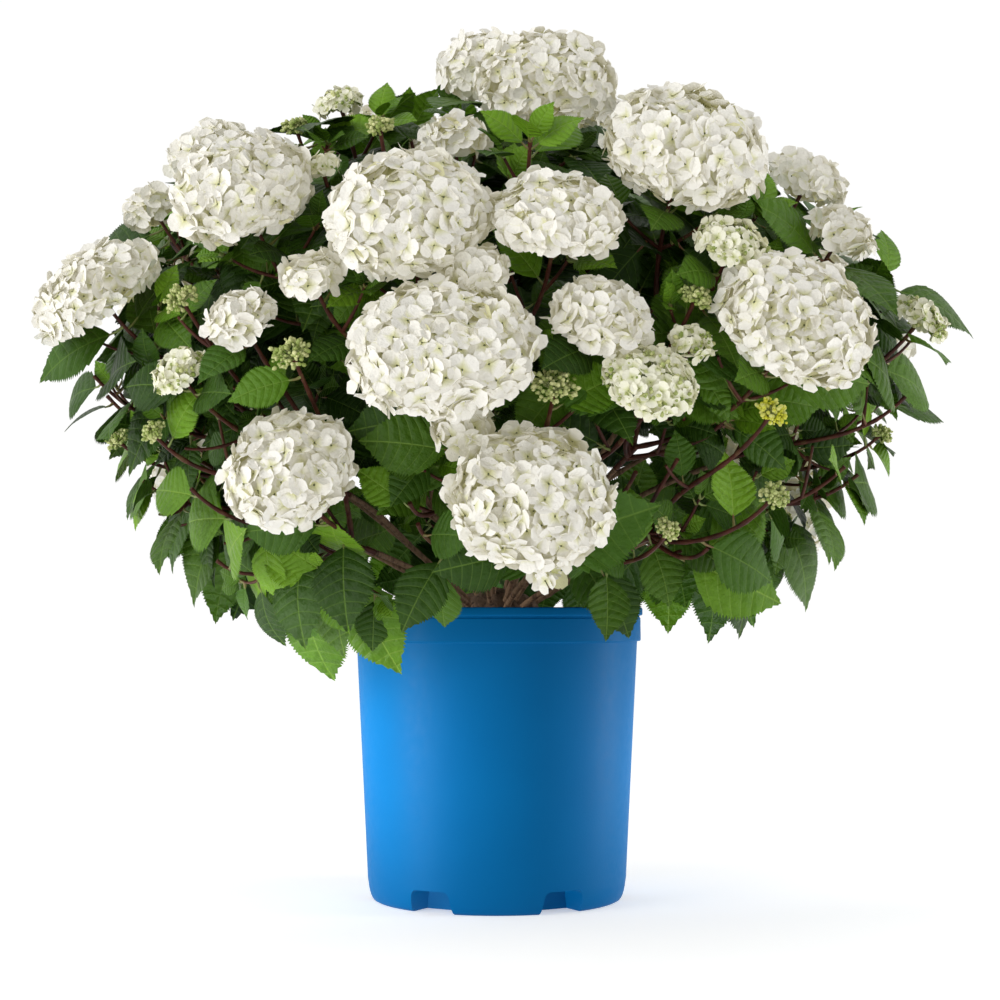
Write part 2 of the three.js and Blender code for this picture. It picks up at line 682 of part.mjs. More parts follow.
function makeFoliage(mass, masses, owner, marks, limbs) {
  const random = numberStream(500 + owner);
  const seat = mass.fork.clone().addScaledVector(mass.heading, clearance);
  const end = mass.fork.clone().addScaledVector(mass.heading, stem.length + 2);
  const stemLine = new THREE.LineCurve3(seat, end);
  const twigLines = mass.shoots.flatMap((s) => linesAlong(s.path, shoot.steps));
  const pieces = [taperedLimb(stemLine, stem.radius, stem.radius, stem.sides, 1)];
  const leaves = [];
  const fits = (corners) => (
    leafProbes(corners).every((point) => (
      clearOfPot(point) && inOutline(point) && clearOfHeads(point, masses)
      && clearOfLimbs(point, limbs) && inOwnSpace(point, owner, marks)))
    && !crossesAny(corners, leaves)
    && !piercedBy(corners, twigLines));
  mass.shoots.forEach((s) => {
    pieces.push(taperedLimb(s.path, shoot.radius, shoot.tipRadius, shoot.sides, shoot.steps));
    if (s.radius > 0) pieces.push(headSolid(s, owner, marks));
    leafyShoot(s, mass.broadside, random, leaves, fits);
  });
  leaves.forEach((corners) => pieces.push(leafSolid(corners)));
  return wasm.Manifold.union(pieces);
}

// ---- The whole shrub -----------------------------------------------------------------------------

const shrub = new THREE.Group();
shrub.name = "potted_hydrangea";
shrub.add(meshOf("pot", makePot(), plastic));
shrub.add(meshOf("potting_mix", makePottingMix(), mix));
shrub.add(meshOf("woody_base", makeBase(0), bark));

const masses = plannedMasses();
const limbs = plannedLimbs(masses);
limbs.forEach((limb) => {
  limb.line = linesAlong(limb.curve, cane.steps);
});
masses.forEach((mass, i) => growShoots(mass, limbs.get(mass.name), i));
const marks = markSpaces(masses);
const baseCutter = makeBase(clearance);

masses.forEach((mass, owner) => {
  const limb = limbs.get(mass.name);
  const cutter = limb.parent ? limbSolid(limb.parent, clearance) : baseCutter;
  const kind = limb.parent ? "branch" : "cane";
  shrub.add(meshOf(`${kind}_${mass.name}`, limbSolid(limb).subtract(cutter), caneBark));
  shrub.add(meshOf(`foliage_${mass.name}`, makeFoliage(mass, masses, owner, marks, limbs), leafGreen));
});

export default shrub;
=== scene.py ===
import json
import math

import bmesh
import bpy
import numpy as np
from mathutils import Matrix, Vector, noise

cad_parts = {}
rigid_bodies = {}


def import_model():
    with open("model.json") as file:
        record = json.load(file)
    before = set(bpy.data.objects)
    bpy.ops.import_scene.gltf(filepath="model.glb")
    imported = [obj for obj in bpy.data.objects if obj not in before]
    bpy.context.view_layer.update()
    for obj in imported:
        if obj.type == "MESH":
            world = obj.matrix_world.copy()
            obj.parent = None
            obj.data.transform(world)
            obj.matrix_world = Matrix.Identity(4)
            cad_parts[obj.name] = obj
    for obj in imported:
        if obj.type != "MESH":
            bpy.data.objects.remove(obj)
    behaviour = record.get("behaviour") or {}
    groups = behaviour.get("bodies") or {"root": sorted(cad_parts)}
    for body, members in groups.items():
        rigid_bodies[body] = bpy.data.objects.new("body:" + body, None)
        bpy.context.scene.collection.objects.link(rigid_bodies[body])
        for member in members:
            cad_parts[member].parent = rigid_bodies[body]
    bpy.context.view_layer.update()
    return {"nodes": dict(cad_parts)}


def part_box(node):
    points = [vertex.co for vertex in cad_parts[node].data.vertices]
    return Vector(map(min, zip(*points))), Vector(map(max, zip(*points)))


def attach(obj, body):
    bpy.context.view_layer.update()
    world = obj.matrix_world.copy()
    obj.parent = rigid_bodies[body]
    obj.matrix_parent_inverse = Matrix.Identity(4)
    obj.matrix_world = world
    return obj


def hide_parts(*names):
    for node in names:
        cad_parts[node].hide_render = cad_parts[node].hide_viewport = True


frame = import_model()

MM = 0.001  # the sizes below are in millimetres

# ---- The place where it stands -------------------------------------------------------------------
# A plain pale floor, softly lit from below like a light table, under a plain pale sky. It is dimmer
# towards the front, where a large soft box stands on the left and a narrow one on the right. Two
# small lamps near the floor are aimed at the pot and cast no shadows.

scene = bpy.context.scene
scene.view_settings.view_transform = "Standard"


def node_in(tree, kind, sockets=None, **settings):
    """Adds a node with these settings. A socket takes another node's output or a plain value."""
    node = tree.nodes.new(kind)
    for title, value in settings.items():
        setattr(node, title, value)
    for title, value in (sockets or {}).items():
        if isinstance(value, bpy.types.NodeSocket):
            tree.links.new(value, node.inputs[title])
        else:
            node.inputs[title].default_value = value
    return node


def new_finish(name, roughness, specular):
    """A material, its node tree and its shader, for a section to colour."""
    finish = bpy.data.materials.new(name)
    finish.use_nodes = True
    shader = finish.node_tree.nodes["Principled BSDF"]
    shader.inputs["Roughness"].default_value = roughness
    shader.inputs["Specular IOR Level"].default_value = specular
    return finish, finish.node_tree, shader


def placed(name, data, place=(0, 0, 0), aim=None):
    """Stands an object in the scene, and turns a lamp to what it is aimed at."""
    thing = bpy.data.objects.new(name, data)
    thing.location = place
    if aim is not None:
        thing.rotation_euler = (Vector(aim) - Vector(place)).to_track_quat("-Z", "Y").to_euler()
    scene.collection.objects.link(thing)
    return thing


def make_floor(reach):
    mesh = bpy.data.meshes.new("floor")
    corners = [(-reach, -reach, 0), (reach, -reach, 0), (reach, reach, 0), (-reach, reach, 0)]
    mesh.from_pydata(corners, [], [(0, 1, 2, 3)])
    paint, _, shader = new_finish("pale_floor", 1, 0)
    shader.inputs["Base Color"].default_value = (0.9, 0.9, 0.9, 1)
    shader.inputs["Emission Color"].default_value = (1, 1, 1, 1)
    shader.inputs["Emission Strength"].default_value = 0.39
    mesh.materials.append(paint)
    floor = placed("floor", mesh)


def make_sky(front, back):
    """Strength of the sky's light from the front and from the back, fading from one to the other."""
    sky = bpy.data.worlds.new("sky")
    sky.use_nodes = True
    tree = sky.node_tree
    place = node_in(tree, "ShaderNodeTexCoord")
    backward = node_in(tree, "ShaderNodeVectorMath", {0: place.outputs["Generated"], 1: (-0.45, 0.9, 0)},
                       operation="DOT_PRODUCT")
    strength = node_in(tree, "ShaderNodeMapRange", {
        "Value": backward.outputs["Value"], "From Min": -0.35, "From Max": 0.45, "To Min": front,
        "To Max": back}, interpolation_type="SMOOTHSTEP")
    tree.links.new(strength.outputs["Result"], tree.nodes["Background"].inputs["Strength"])
    tree.nodes["Background"].inputs["Color"].default_value = (1, 1, 0.99, 1)
    scene.world = sky


def hang_lamp(name, kind, power, place, aim, **settings):
    """A lamp of this kind, power in watts, that stands at a place and faces its aim, both in metres."""
    lamp = bpy.data.lights.new(name, kind)
    lamp.energy = power
    for title, value in settings.items():
        setattr(lamp, title, value)
    placed(name, lamp, place, aim)


make_floor(30)
make_sky(0.44, 1.02)
middle_of_shrub = (0, 0, 0.35)
hang_lamp("key", "AREA", 24, (-1.9, -1.4, 1.1), middle_of_shrub, shape="RECTANGLE", size=1.3, size_y=1.8)
hang_lamp("fill", "AREA", 13, (2.1, -0.3, 0.8), middle_of_shrub, shape="RECTANGLE", size=0.5, size_y=1.6)
# beams as wide as the pot, from azimuths with the front at -90
lamp_distance, lamp_height, beam = 1.1, 0.112, 15
for name, azimuth, power in (("pot_left", -156, 84), ("pot_right", 10, 54)):
    turn = math.radians(azimuth)
    place = (lamp_distance * math.cos(turn), lamp_distance * math.sin(turn), lamp_height)
    hang_lamp(name, "SPOT", power, place, (0, 0, lamp_height), spot_size=math.radians(beam),
              spot_blend=0.7, shadow_soft_size=0.08, use_shadow=False)

viewpoint = bpy.data.cameras.new("viewpoint")
viewpoint.lens = 72.6
viewpoint.sensor_width = 36
scene.camera = placed("viewpoint", viewpoint, (0.0024, -1.6, 0.228))
scene.camera.rotation_euler = (math.radians(93.04), 0, 0)

# ---- The pot -------------------------------------------------------------------------------------
# A round nursery pot, injection moulded in one piece from blue polypropylene with a satin skin.
# A rolled lip and a plain band stiffen its mouth, and six arches in its foot let the water out.

pot_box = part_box("pot")
pot_height = pot_box[1][2] / MM
lip_radius = pot_box[1][0] / MM
wall = 2.4
pot_floor = 3
foot_height = 20
band_foot = pot_height - 27
lip_foot = pot_height - 6.5
body_top = lip_radius - 4.3
body_foot = lip_radius - 13.5
sole = lip_radius - 20


def body_radius(height):
    """Radius of the tapering outer wall, from the rounded foot up."""
    return body_foot + (body_top - body_foot) * (height - foot_height) / (band_foot - foot_height)


def pot_profile():
    """(radius, height) from the middle of the underside, out, up, over the lip and down inside."""
    points = [(0, 0), (sole, 0)]
    for turn in np.linspace(0.2, 1, 7) * math.pi / 2:
        foot = (sole + (body_foot - sole) * math.sin(turn), foot_height * (1 - math.cos(turn)))
        points.append(foot)
    points += [(body_radius(z), z) for z in np.linspace(foot_height, band_foot, 12)[1:]]
    band = body_top + 2.9
    points += [(body_top + 0.4, band_foot + 0.5), (band - 0.5, band_foot + 0.6), (band, band_foot + 1.4)]
    points += [(band - 0.2, lip_foot - 2.2), (band - 0.9, lip_foot - 1.4), (band - 1, lip_foot - 0.3)]
    points += [(lip_radius - 0.7, lip_foot), (lip_radius, lip_foot + 0.8)]
    points += [(lip_radius, pot_height - 1.6), (lip_radius - 0.5, pot_height - 0.5)]
    points += [(lip_radius - 1.6, pot_height), (lip_radius - 3.4, pot_height)]
    points += [(body_radius(pot_height) - wall + 0.4, pot_height - 0.8)]
    points += [(body_radius(z) - wall, z) for z in np.linspace(pot_height - 3, foot_height, 10)]
    points += [(body_foot - wall - 2, foot_height * 0.6), (sole - wall - 1, pot_floor), (0, pot_floor)]
    return points


def foot_radius(height):
    """Radius of the outer skin in the rounded foot."""
    drop = min(1, max(0, 1 - height / foot_height))
    return sole + (body_foot - sole) * math.sqrt(1 - drop ** 2)


def body_of(name, build):
    """A closed body from its faces, all turned to face outward."""
    bmesh.ops.recalc_face_normals(build, faces=build.faces)
    mesh = bpy.data.meshes.new(name)
    build.to_mesh(mesh)
    build.free()
    return placed(name, mesh)


def turned(name, profile, sides):
    """A closed body turned round the Z axis from a profile that starts and ends on it."""
    build = bmesh.new()
    rings = []
    for radius, height in profile:
        turns = [2 * math.pi * k / sides for k in range(sides if radius > 0 else 1)]
        rings.append([build.verts.new((radius * MM * math.cos(t), radius * MM * math.sin(t), height * MM))
                      for t in turns])
    for low, high in zip(rings, rings[1:]):
        for k in range(sides):
            pairs = ((low, k), (low, k + 1), (high, k + 1), (high, k))
            build.faces.new(list(dict.fromkeys(ring[i % len(ring)] for ring, i in pairs)))
    return body_of(name, build)


def arch_blocks(extra):
    """One block for each arch in the foot, with round shoulders. extra widens it for the walls."""
    count, width, height, depth, shoulder = 6, 33, 17, 27, 5
    half = width / 2 + extra
    outline = [(-half - 1.5, -1), (half + 1.5, -1)]
    for side in (1, -1):
        for turn in np.linspace(0, math.pi / 2, 5)[::side]:
            outline.append((side * (half - shoulder + shoulder * math.cos(turn)),
                            height + extra - shoulder + shoulder * math.sin(turn)))
    build = bmesh.new()
    if extra > 0:
        outline = [(x, max(z, 0.6)) for x, z in outline]
    inner = [body_foot - depth - extra] * len(outline)
    outer = [math.sqrt((foot_radius(z) - 0.8) ** 2 - x ** 2) if extra > 0 else body_foot + 20
             for x, z in outline]
    for i in range(count):
        swing = Matrix.Rotation(2 * math.pi * (i + 0.5) / count, 3, "Z")
        ends = [[build.verts.new(swing @ Vector((x * MM, -reach * MM, z * MM)))
                 for (x, z), reach in zip(outline, reaches)] for reaches in (inner, outer)]
        build.faces.new(ends[0])
        build.faces.new(ends[1][::-1])
        for k in range(len(outline)):
            after = (k + 1) % len(outline)
            build.faces.new((ends[0][k], ends[1][k], ends[1][after], ends[0][after]))
    return body_of("arches", build)


def joined(body, tool, operation):
    """Cuts or joins the tool and takes it away."""
    modifier = body.modifiers.new(operation, "BOOLEAN")
    modifier.operation = operation
    modifier.solver = "EXACT"
    modifier.object = tool
    result = bpy.data.meshes.new_from_object(body.evaluated_get(bpy.context.evaluated_depsgraph_get()))
    body.modifiers.clear()
    body.data = result
    bpy.data.objects.remove(tool)


def mottle(tree, scale, detail, stretch=(1, 1, 1)):
    """Soft noise through the piece's own space, from 0 to 1. scale is in patches a metre."""
    place = node_in(tree, "ShaderNodeTexCoord")
    spread = node_in(tree, "ShaderNodeMapping", {"Vector": place.outputs["Object"], "Scale": stretch})
    sockets = {"Vector": spread.outputs["Vector"], "Scale": scale, "Detail": detail}
    return node_in(tree, "ShaderNodeTexNoise", sockets).outputs["Fac"]


def ramp(tree, value, stops):
    """Colours along a value: [(position, (red, green, blue)), ...]."""
    colours = node_in(tree, "ShaderNodeValToRGB", {"Fac": value})
    elements = colours.color_ramp.elements
    elements.remove(elements[1])
    for i, (position, colour) in enumerate(stops):
        stop = elements[0] if i == 0 else elements.new(position)
        stop.position = position
        stop.color = (*colour, 1)
    return colours.outputs["Color"]


def relief(tree, shader, value, depth):
    """Raises the surface by a value, depth in metres, without moving it."""
    bump = node_in(tree, "ShaderNodeBump", {"Height": value, "Distance": depth})
    tree.links.new(bump.outputs["Normal"], shader.inputs["Normal"])


def mottled_finish(name, roughness, specular, patches, stops, grain=None, depth=0.0):
    """Colours that follow one soft noise, and relief that follows another, each told as for mottle."""
    finish, tree, shader = new_finish(name, roughness, specular)
    tree.links.new(ramp(tree, mottle(tree, *patches), stops), shader.inputs["Base Color"])
    if grain:
        relief(tree, shader, mottle(tree, *grain), depth)
    return finish


def blue_plastic():
    finish = mottled_finish("blue_moulded_plastic", 0.34, 0.045, (9, 3),
                            [(0.3, (0.0, 0.097, 0.27)), (0.7, (0.0, 0.108, 0.295))], (700, 2), 0.00006)
    tree = finish.node_tree
    tree.links.new(ramp(tree, mottle(tree, 160, 4), [(0.3, (0.46,) * 3), (0.75, (0.56,) * 3)]),
                   tree.nodes["Principled BSDF"].inputs["Roughness"])
    return finish


def dress(piece, finish, slot, *nodes, smooth_under=None):
    """Gives a finished piece its material and body, and hides the nodes that it stands for. slot is not
    used.
    """
    if finish is not None:
        piece.data.materials.clear()
        piece.data.materials.append(finish)
    if smooth_under is not None:
        piece.data.shade_smooth()
        piece.data.set_sharp_from_angle(angle=math.radians(smooth_under))
    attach(piece, "root")
    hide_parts(*nodes)


pot = turned("moulded_pot", pot_profile(), 144)
joined(pot, arch_blocks(wall), "UNION")
joined(pot, arch_blocks(0), "DIFFERENCE")
dress(pot, blue_plastic(), "pot_plastic", "pot", smooth_under=28)

# ---- The potting mix -----------------------------------------------------------------------------
# Composted bark and peat that fills the pot to a finger's width below its lip. Its top is uneven,
# with chips of bark and a few white grains of perlite lying loose on it.

mix_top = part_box("potting_mix")[1][2] / MM


def number_stream(seed):
    """The same numbers between 0 and 1 for the same seed."""
    state = ((seed + 1) * 2654435761) % 2 ** 32
    while True:
        state = (1664525 * state + 1013904223) % 2 ** 32
        yield state / 2 ** 32


def mix_height(x, y):
    """Height of the uneven top, in millimetres."""
    return mix_top - 1.5 + 2.6 * noise.noise((x / 38, y / 38, 0.5)) + 0.9 * noise.noise((x / 9, y / 9, 7))


def make_mix():
    top_radius = body_radius(mix_top) - wall - 0.4
    low_radius = body_radius(foot_height + 4) - wall - 0.4
    profile = [(0, foot_height + 4), (low_radius, foot_height + 4), (top_radius, mix_top - 6)]
    profile += [(radius, mix_top) for radius in np.linspace(top_radius, 0, 26)]
    body = turned("mix_body", profile, 96)
    for vertex in body.data.vertices:
        if vertex.co.z > (mix_top - 0.5) * MM:
            vertex.co.z = mix_height(vertex.co.x / MM, vertex.co.y / MM) * MM
    return body


def mix_finish(name, dark, light):
    return mottled_finish(name, 0.95, 0.2, (260, 6), [(0.35, dark), (0.7, light)], (500, 6), 0.0015)


dress(make_mix(), mix_finish("dark_mix", (0.018, 0.011, 0.007), (0.075, 0.046, 0.03)), "potting_mix",
      "potting_mix", smooth_under=60)


def tree_of(name, sockets):
    """A Geometry Nodes tree with these named inputs beside its geometry."""
    tree = bpy.data.node_groups.new(name, "GeometryNodeTree")
    tree.interface.new_socket("Geometry", in_out="INPUT", socket_type="NodeSocketGeometry")
    for title, kind in sockets.items():
        tree.interface.new_socket(title, in_out="INPUT", socket_type=kind)
    tree.interface.new_socket("Geometry", in_out="OUTPUT", socket_type="NodeSocketGeometry")
    return tree, tree.nodes.new("NodeGroupInput"), tree.nodes.new("NodeGroupOutput")


def end_tree(tree, start, end, geometry):
    """Every tree ends in real geometry with the finish that it was given."""
    real = node_in(tree, "GeometryNodeRealizeInstances", {"Geometry": geometry})
    coloured = node_in(tree, "GeometryNodeSetMaterial", {
        "Geometry": real.outputs["Geometry"], "Material": start.outputs["Finish"]})
    tree.links.new(coloured.outputs["Geometry"], end.inputs["Geometry"])
    return tree


def grown(name, seeds, tree, inputs):
    """Runs a tree on points or curves and returns the result as a plain mesh piece."""
    bed = placed(name + "_seeds", seeds)
    modifier = bed.modifiers.new("growth", "NODES")
    modifier.node_group = tree
    for item in tree.interface.items_tree:
        if item.item_type == "SOCKET" and item.in_out == "INPUT" and item.name in inputs:
            modifier[item.identifier] = inputs[item.name]
    scene_graph = bpy.context.evaluated_depsgraph_get()
    mesh = bpy.data.meshes.new_from_object(
        bed.evaluated_get(scene_graph), preserve_all_data_layers=True, depsgraph=scene_graph)
    bpy.data.objects.remove(bed)
    mesh.name = name
    return placed(name, mesh)


def strewing_tree():
    """Sets one of the shapes on every point, turned and sized as the point says."""
    tree, start, end = tree_of("strew", {"Shapes": "NodeSocketCollection", "Finish": "NodeSocketMaterial"})
    shapes = node_in(tree, "GeometryNodeCollectionInfo", {
        "Collection": start.outputs["Shapes"], "Separate Children": True, "Reset Children": True})
    sockets = {"Points": start.outputs["Geometry"], "Instance": shapes.outputs["Instances"],
               "Pick Instance": True}
    for title, kind, socket in (("shape", "INT", "Instance Index"), ("turn", "QUATERNION", "Rotation"),
                                ("size", "FLOAT_VECTOR", "Scale")):
        told = node_in(tree, "GeometryNodeInputNamedAttribute", {"Name": title}, data_type=kind)
        sockets[socket] = told.outputs["Attribute"]
    planted = node_in(tree, "GeometryNodeInstanceOnPoints", sockets)
    return end_tree(tree, start, end, planted.outputs["Instances"])


strew_tree = strewing_tree()


def strewn(name, shapes, places, finish):
    """places: [(point in mm, 3x3 turn, (x, y, z) size in mm, which shape, tint), ...]."""
    points, turns, sizes, picks, tints = zip(*places)
    mesh = bpy.data.meshes.new(name)
    mesh.vertices.add(len(places))
    mesh.vertices.foreach_set("co", (np.array(points) * MM).ravel())
    turns = [tuple(Matrix([list(row) for row in turn]).to_quaternion()) for turn in turns]
    for title, kind, key, values in (("turn", "QUATERNION", "value", turns),
                                     ("size", "FLOAT_VECTOR", "vector", np.array(sizes) * MM),
                                     ("shape", "INT", "value", picks), ("tint", "FLOAT", "value", tints)):
        told = mesh.attributes.new(title, kind, "POINT")
        told.data.foreach_set(key, np.ravel(values).tolist())
    kit = bpy.data.collections.new(name + "_shapes")
    for shape in shapes:
        kit.objects.link(shape)
    piece = grown(name, mesh, strew_tree, {"Shapes": kit, "Finish": finish})
    bpy.data.collections.remove(kit)
    return piece


def shape_of(name, points, faces, smooth=True, **marks):
    """A small shape, unit sized, that is repeated. marks are numbers on its points."""
    mesh = bpy.data.meshes.new(name)
    mesh.from_pydata([tuple(p) for p in points], [], faces)
    for title, values in marks.items():
        mesh.attributes.new(title, "FLOAT", "POINT").data.foreach_set("value", values)
    if smooth:
        mesh.shade_smooth()
    return bpy.data.objects.new(name, mesh)


def pebble(name, seed=None):
    """A rough splinter or grain, its own for each seed, or without a seed a smooth round bead."""
    stream = number_stream(seed) if seed else None
    build = bmesh.new()
    bmesh.ops.create_icosphere(build, subdivisions=1, radius=0.5)
    points = [vertex.co * (0.75 + 0.5 * next(stream) if seed else 1) for vertex in build.verts]
    faces = [[vertex.index for vertex in face.verts] for face in build.faces]
    build.free()
    return shape_of(name, points, faces, smooth=not seed)


def scatter_crumbs(count, seed, size, flat):
    stream = number_stream(seed)
    places = []
    for _ in range(count):
        radius = (body_radius(mix_top) - wall - 5) * math.sqrt(next(stream))
        turn = 2 * math.pi * next(stream)
        x, y = radius * math.cos(turn), radius * math.sin(turn)
        spin = Matrix.Rotation(2 * math.pi * next(stream), 3, "Z")
        tilt = Matrix.Rotation(0.9 * (next(stream) - 0.5), 3, "X")
        long = size * (0.5 + next(stream))
        places.append(((x, y, mix_height(x, y) + 0.4), spin @ tilt,
                       (long, long * (0.4 + 0.4 * next(stream)), long * flat), int(3 * next(stream)), 0))
    return places


for name, paint, first_shape, count, seed, size, flat, dark, light in (
        ("bark_chips", "bark_chip", 3, 900, 21, 9, 0.3, (0.04, 0.02, 0.012), (0.17, 0.095, 0.055)),
        ("perlite_grains", "perlite", 6, 150, 22, 3, 0.8, (0.55, 0.53, 0.48), (0.75, 0.73, 0.68))):
    grains = [pebble(letter, first_shape + i) for i, letter in enumerate("abc")]
    crumbs = strewn(name, grains, scatter_crumbs(count, seed, size, flat), mix_finish(paint, dark, light))
    dress(crumbs, None, "potting_mix", "potting_mix")

# ---- How the shrub grows -------------------------------------------------------------------------
# Canes fan out of one woody base. Each cane, or side branch, carries one spray of foliage: a short
# stem that splits into shoots, and every shoot ends in a head of bloom, a bud cluster or leaves.

heart = np.array([0.0, 0.0, 420.0])
crown_across, crown_deep, crown_rise, usual_share = 385, 340, 265, 0.8
root = np.array([0.0, 0.0, mix_top + 6])
up = np.array([0.0, 0.0, 1.0])
cane_foot, cane_tip, branch_foot = 3.3, 2.7, 3.0
stem_length = 28

# For each kind of shoot tip: over and under its widest place as shares of its radius, the number of
# leaf pairs, and its leaves' size.
tips = {
    "ball": (0.78, 0.6, 3, 1.0),
    "dome": (0.64, 0.42, 3, 0.95),
    "open": (0.62, 0.4, 3, 0.9),
    "buds": (0.6, 0.5, 3, 0.85),
    "leafy": (0.0, 0.0, 4, 0.95),
}

# name, the cane that a side branch leaves, and its shoots: (across, up, width, kind, share of the dome)
front_masses = [
    ("top", None, [(-9, 646, 77, "ball", 0.3), (36, 615, 111, "ball", 0.5), (-30, 563, 50, "dome", 0.6),
                   (23, 545, 0, "leafy"), (-30, 610, 0, "leafy", -0.2)]),
    ("upper_right", None, [(129, 541, 118, "ball"), (231, 544, 66, "dome", 0.5),
                           (246, 494, 57, "dome", 0.7), (188, 512, 0, "leafy", 0.6)]),
    ("right", None, [(202, 419, 115, "ball", 0.85), (160, 473, 56, "open"), (134, 436, 24, "buds"),
                     (131, 404, 34, "open"), (165, 365, 0, "leafy", 0.6)]),
    ("right_tip", "right", [(313, 440, 48, "open", 0.6), (305, 385, 0, "leafy", 0.5),
                            (300, 480, 0, "leafy", 0.4)]),
    ("right_side", None, [(318, 400, 0, "leafy", -0.2), (278, 330, 0, "leafy", 0.25),
                          (304, 365, 20, "buds", 0.05)]),
    ("right_low", None, [(184, 358, 24, "buds", 0.9), (189, 304, 24, "buds", 0.9),
                         (150, 270, 0, "leafy", 0.7), (253, 330, 0, "leafy", 0.6),
                         (125, 330, 0, "leafy", 0.7)]),
    ("centre", None, [(70, 420, 72, "dome"), (101, 376, 67, "open", 0.85), (38, 372, 34, "buds", 0.85)]),
    ("upper_middle", None, [(-59, 489, 115, "ball"), (40, 488, 93, "dome"), (-124, 450, 48, "dome"),
                            (10, 530, 0, "leafy", 0.6)]),
    ("upper_left", None, [(-175, 513, 104, "ball"), (-216, 567, 68, "dome", 0.5),
                          (-261, 531, 48, "dome", 0.4), (-123, 537, 30, "open", 0.7)]),
    ("top_left", "upper_left", [(-119, 609, 41, "open", 0.4), (-81, 560, 22, "buds"),
                                (-150, 585, 22, "buds", 0.5)]),
    ("left_tip", None, [(-286, 453, 102, "dome", 0.7), (-217, 440, 28, "buds"),
                        (-300, 400, 0, "leafy", 0.5)]),
    ("left", "left_tip", [(-173, 423, 54, "dome"), (-218, 389, 44, "open"), (-240, 350, 20, "buds"),
                          (-160, 380, 0, "leafy", 0.55)]),
    ("left_side", None, [(-318, 400, 0, "leafy", -0.2), (-272, 325, 0, "leafy", 0.25),
                         (-300, 360, 20, "buds", 0.05)]),
    ("left_low", None, [(-139, 319, 95, "ball", 0.85), (-136, 396, 32, "buds", 0.85),
                        (-217, 312, 0, "leafy", 0.7), (-205, 262, 0, "leafy", 0.6),
                        (-125, 255, 0, "leafy", 0.65)]),
    ("front", None, [(-35, 395, 128, "dome", 0.85), (-24, 346, 46, "dome"), (-14, 452, 50, "dome"),
                     (-85, 340, 0, "leafy", 0.7), (-60, 300, 0, "leafy", 0.7)]),
    ("front_low", None, [(23, 298, 112, "ball", 0.92), (33, 250, 26, "dome", 0.85),
                         (-54, 285, 0, "leafy", 0.75), (95, 272, 0, "leafy", 0.7),
                         (117, 280, 20, "buds", 0.85), (95, 320, 0, "leafy", 0.75)]),
]
# name, the cane that a side branch leaves, azimuth and elevation about the heart, with +X at 0
back_masses = [
    ("back_right_low", None, 34, -24), ("back_low", None, 90, -26), ("back_left_low", None, 148, -22),
    ("back_right_side", "back_right", 22, 16), ("back_right", None, 62, 18),
    ("back_left", None, 112, 14), ("back_left_side", "back_left", 156, 14),
    ("back_top_right", None, 50, 60), ("back_top_left", "back_top_right", 132, 58),
]
back_shoots = [(0, 5, 112, "ball"), (-17, -9, 72, "dome"), (16, -10, 34, "buds"), (13, 15, 0, "leafy")]


def unit(vector):
    return vector / np.linalg.norm(vector)


class Path:
    """A Bezier curve measured along its own length."""

    def __init__(self, *controls):
        self.controls = np.array(controls, float)
        self.times = np.linspace(0, 1, 201)
        steps = np.linalg.norm(np.diff(self.point(self.times), axis=0), axis=1)
        self.lengths = np.concatenate([[0], np.cumsum(steps)])
        self.length = self.lengths[-1]

    def point(self, time):
        time = np.asarray(time, float)[..., None]
        layer = [control + 0 * time for control in self.controls]
        while len(layer) > 1:
            layer = [a * (1 - time) + b * time for a, b in zip(layer, layer[1:])]
        return layer[0]

    def time_at(self, share):
        return np.interp(np.asarray(share) * self.length, self.lengths, self.times)

    def at(self, share):
        return self.point(self.time_at(share))

    def heading(self, share):
        time = self.time_at(share)
        return unit(self.point(min(time + 1e-4, 1)) - self.point(max(time - 1e-4, 0)))


def on_dome(across, height, share):
    lift = (height - heart[2]) / crown_rise
    depth = math.sqrt(max(0, 1 - (across / crown_across) ** 2 - lift ** 2))
    return np.array([across, -share * crown_deep * depth, height], float)


def on_dome_at(azimuth, elevation):
    turn, lift = math.radians(azimuth), math.radians(elevation)
    reach = usual_share * math.cos(lift)
    return np.array([reach * crown_across * math.cos(turn), reach * crown_deep * math.sin(turn),
                     heart[2] + usual_share * crown_rise * math.sin(lift)])


def outward_of(middle):
    return unit((middle - heart) * (1, 1, 0))


def head_axis(middle):
    """Heads lean outwards, the low ones the most, and lift towards the light."""
    lean = 0.35 + 0.9 * min(1, max(0, (620 - middle[2]) / 350))
    return unit(outward_of(middle) * lean + up)


class Shoot:
    def __init__(self, middle, width, kind):
        self.middle, self.radius, self.kind = middle, width / 2, kind
        self.over, self.under, self.pairs, self.leaf_size = tips[kind]
        self.axis = head_axis(middle)
        self.foot = middle - self.axis * 0.6 * self.under * self.radius


class Mass:
    """Its leaves turn broadside to the front or, on the back, to the back: -1 or 1 along Y."""

    def __init__(self, name, parent, shoots, side):
        self.name, self.parent, self.shoots = name, parent, shoots
        self.broadside = np.array([0, 0.7 * side, 0])
        middle = sum(shoot.middle for shoot in shoots) / len(shoots)
        self.fork = root + (middle - root) * 0.55


def planned_masses():
    masses = []
    for name, parent, shoots in front_masses:
        made = []
        for across, height, width, kind, *share in shoots:
            made.append(Shoot(on_dome(across, height, share[0] if share else usual_share), width, kind))
        masses.append(Mass(name, parent, made, -1))
    for name, parent, azimuth, elevation in back_masses:
        made = [Shoot(on_dome_at(azimuth + turn, elevation + lift), width, kind)
                for turn, lift, width, kind in back_shoots]
        masses.append(Mass(name, parent, made, 1))
    return masses


def cane_path(start, fork):
    bend = (start + fork) / 2 + up * 0.07 * np.linalg.norm(fork - start)
    return Path(start, bend, fork)


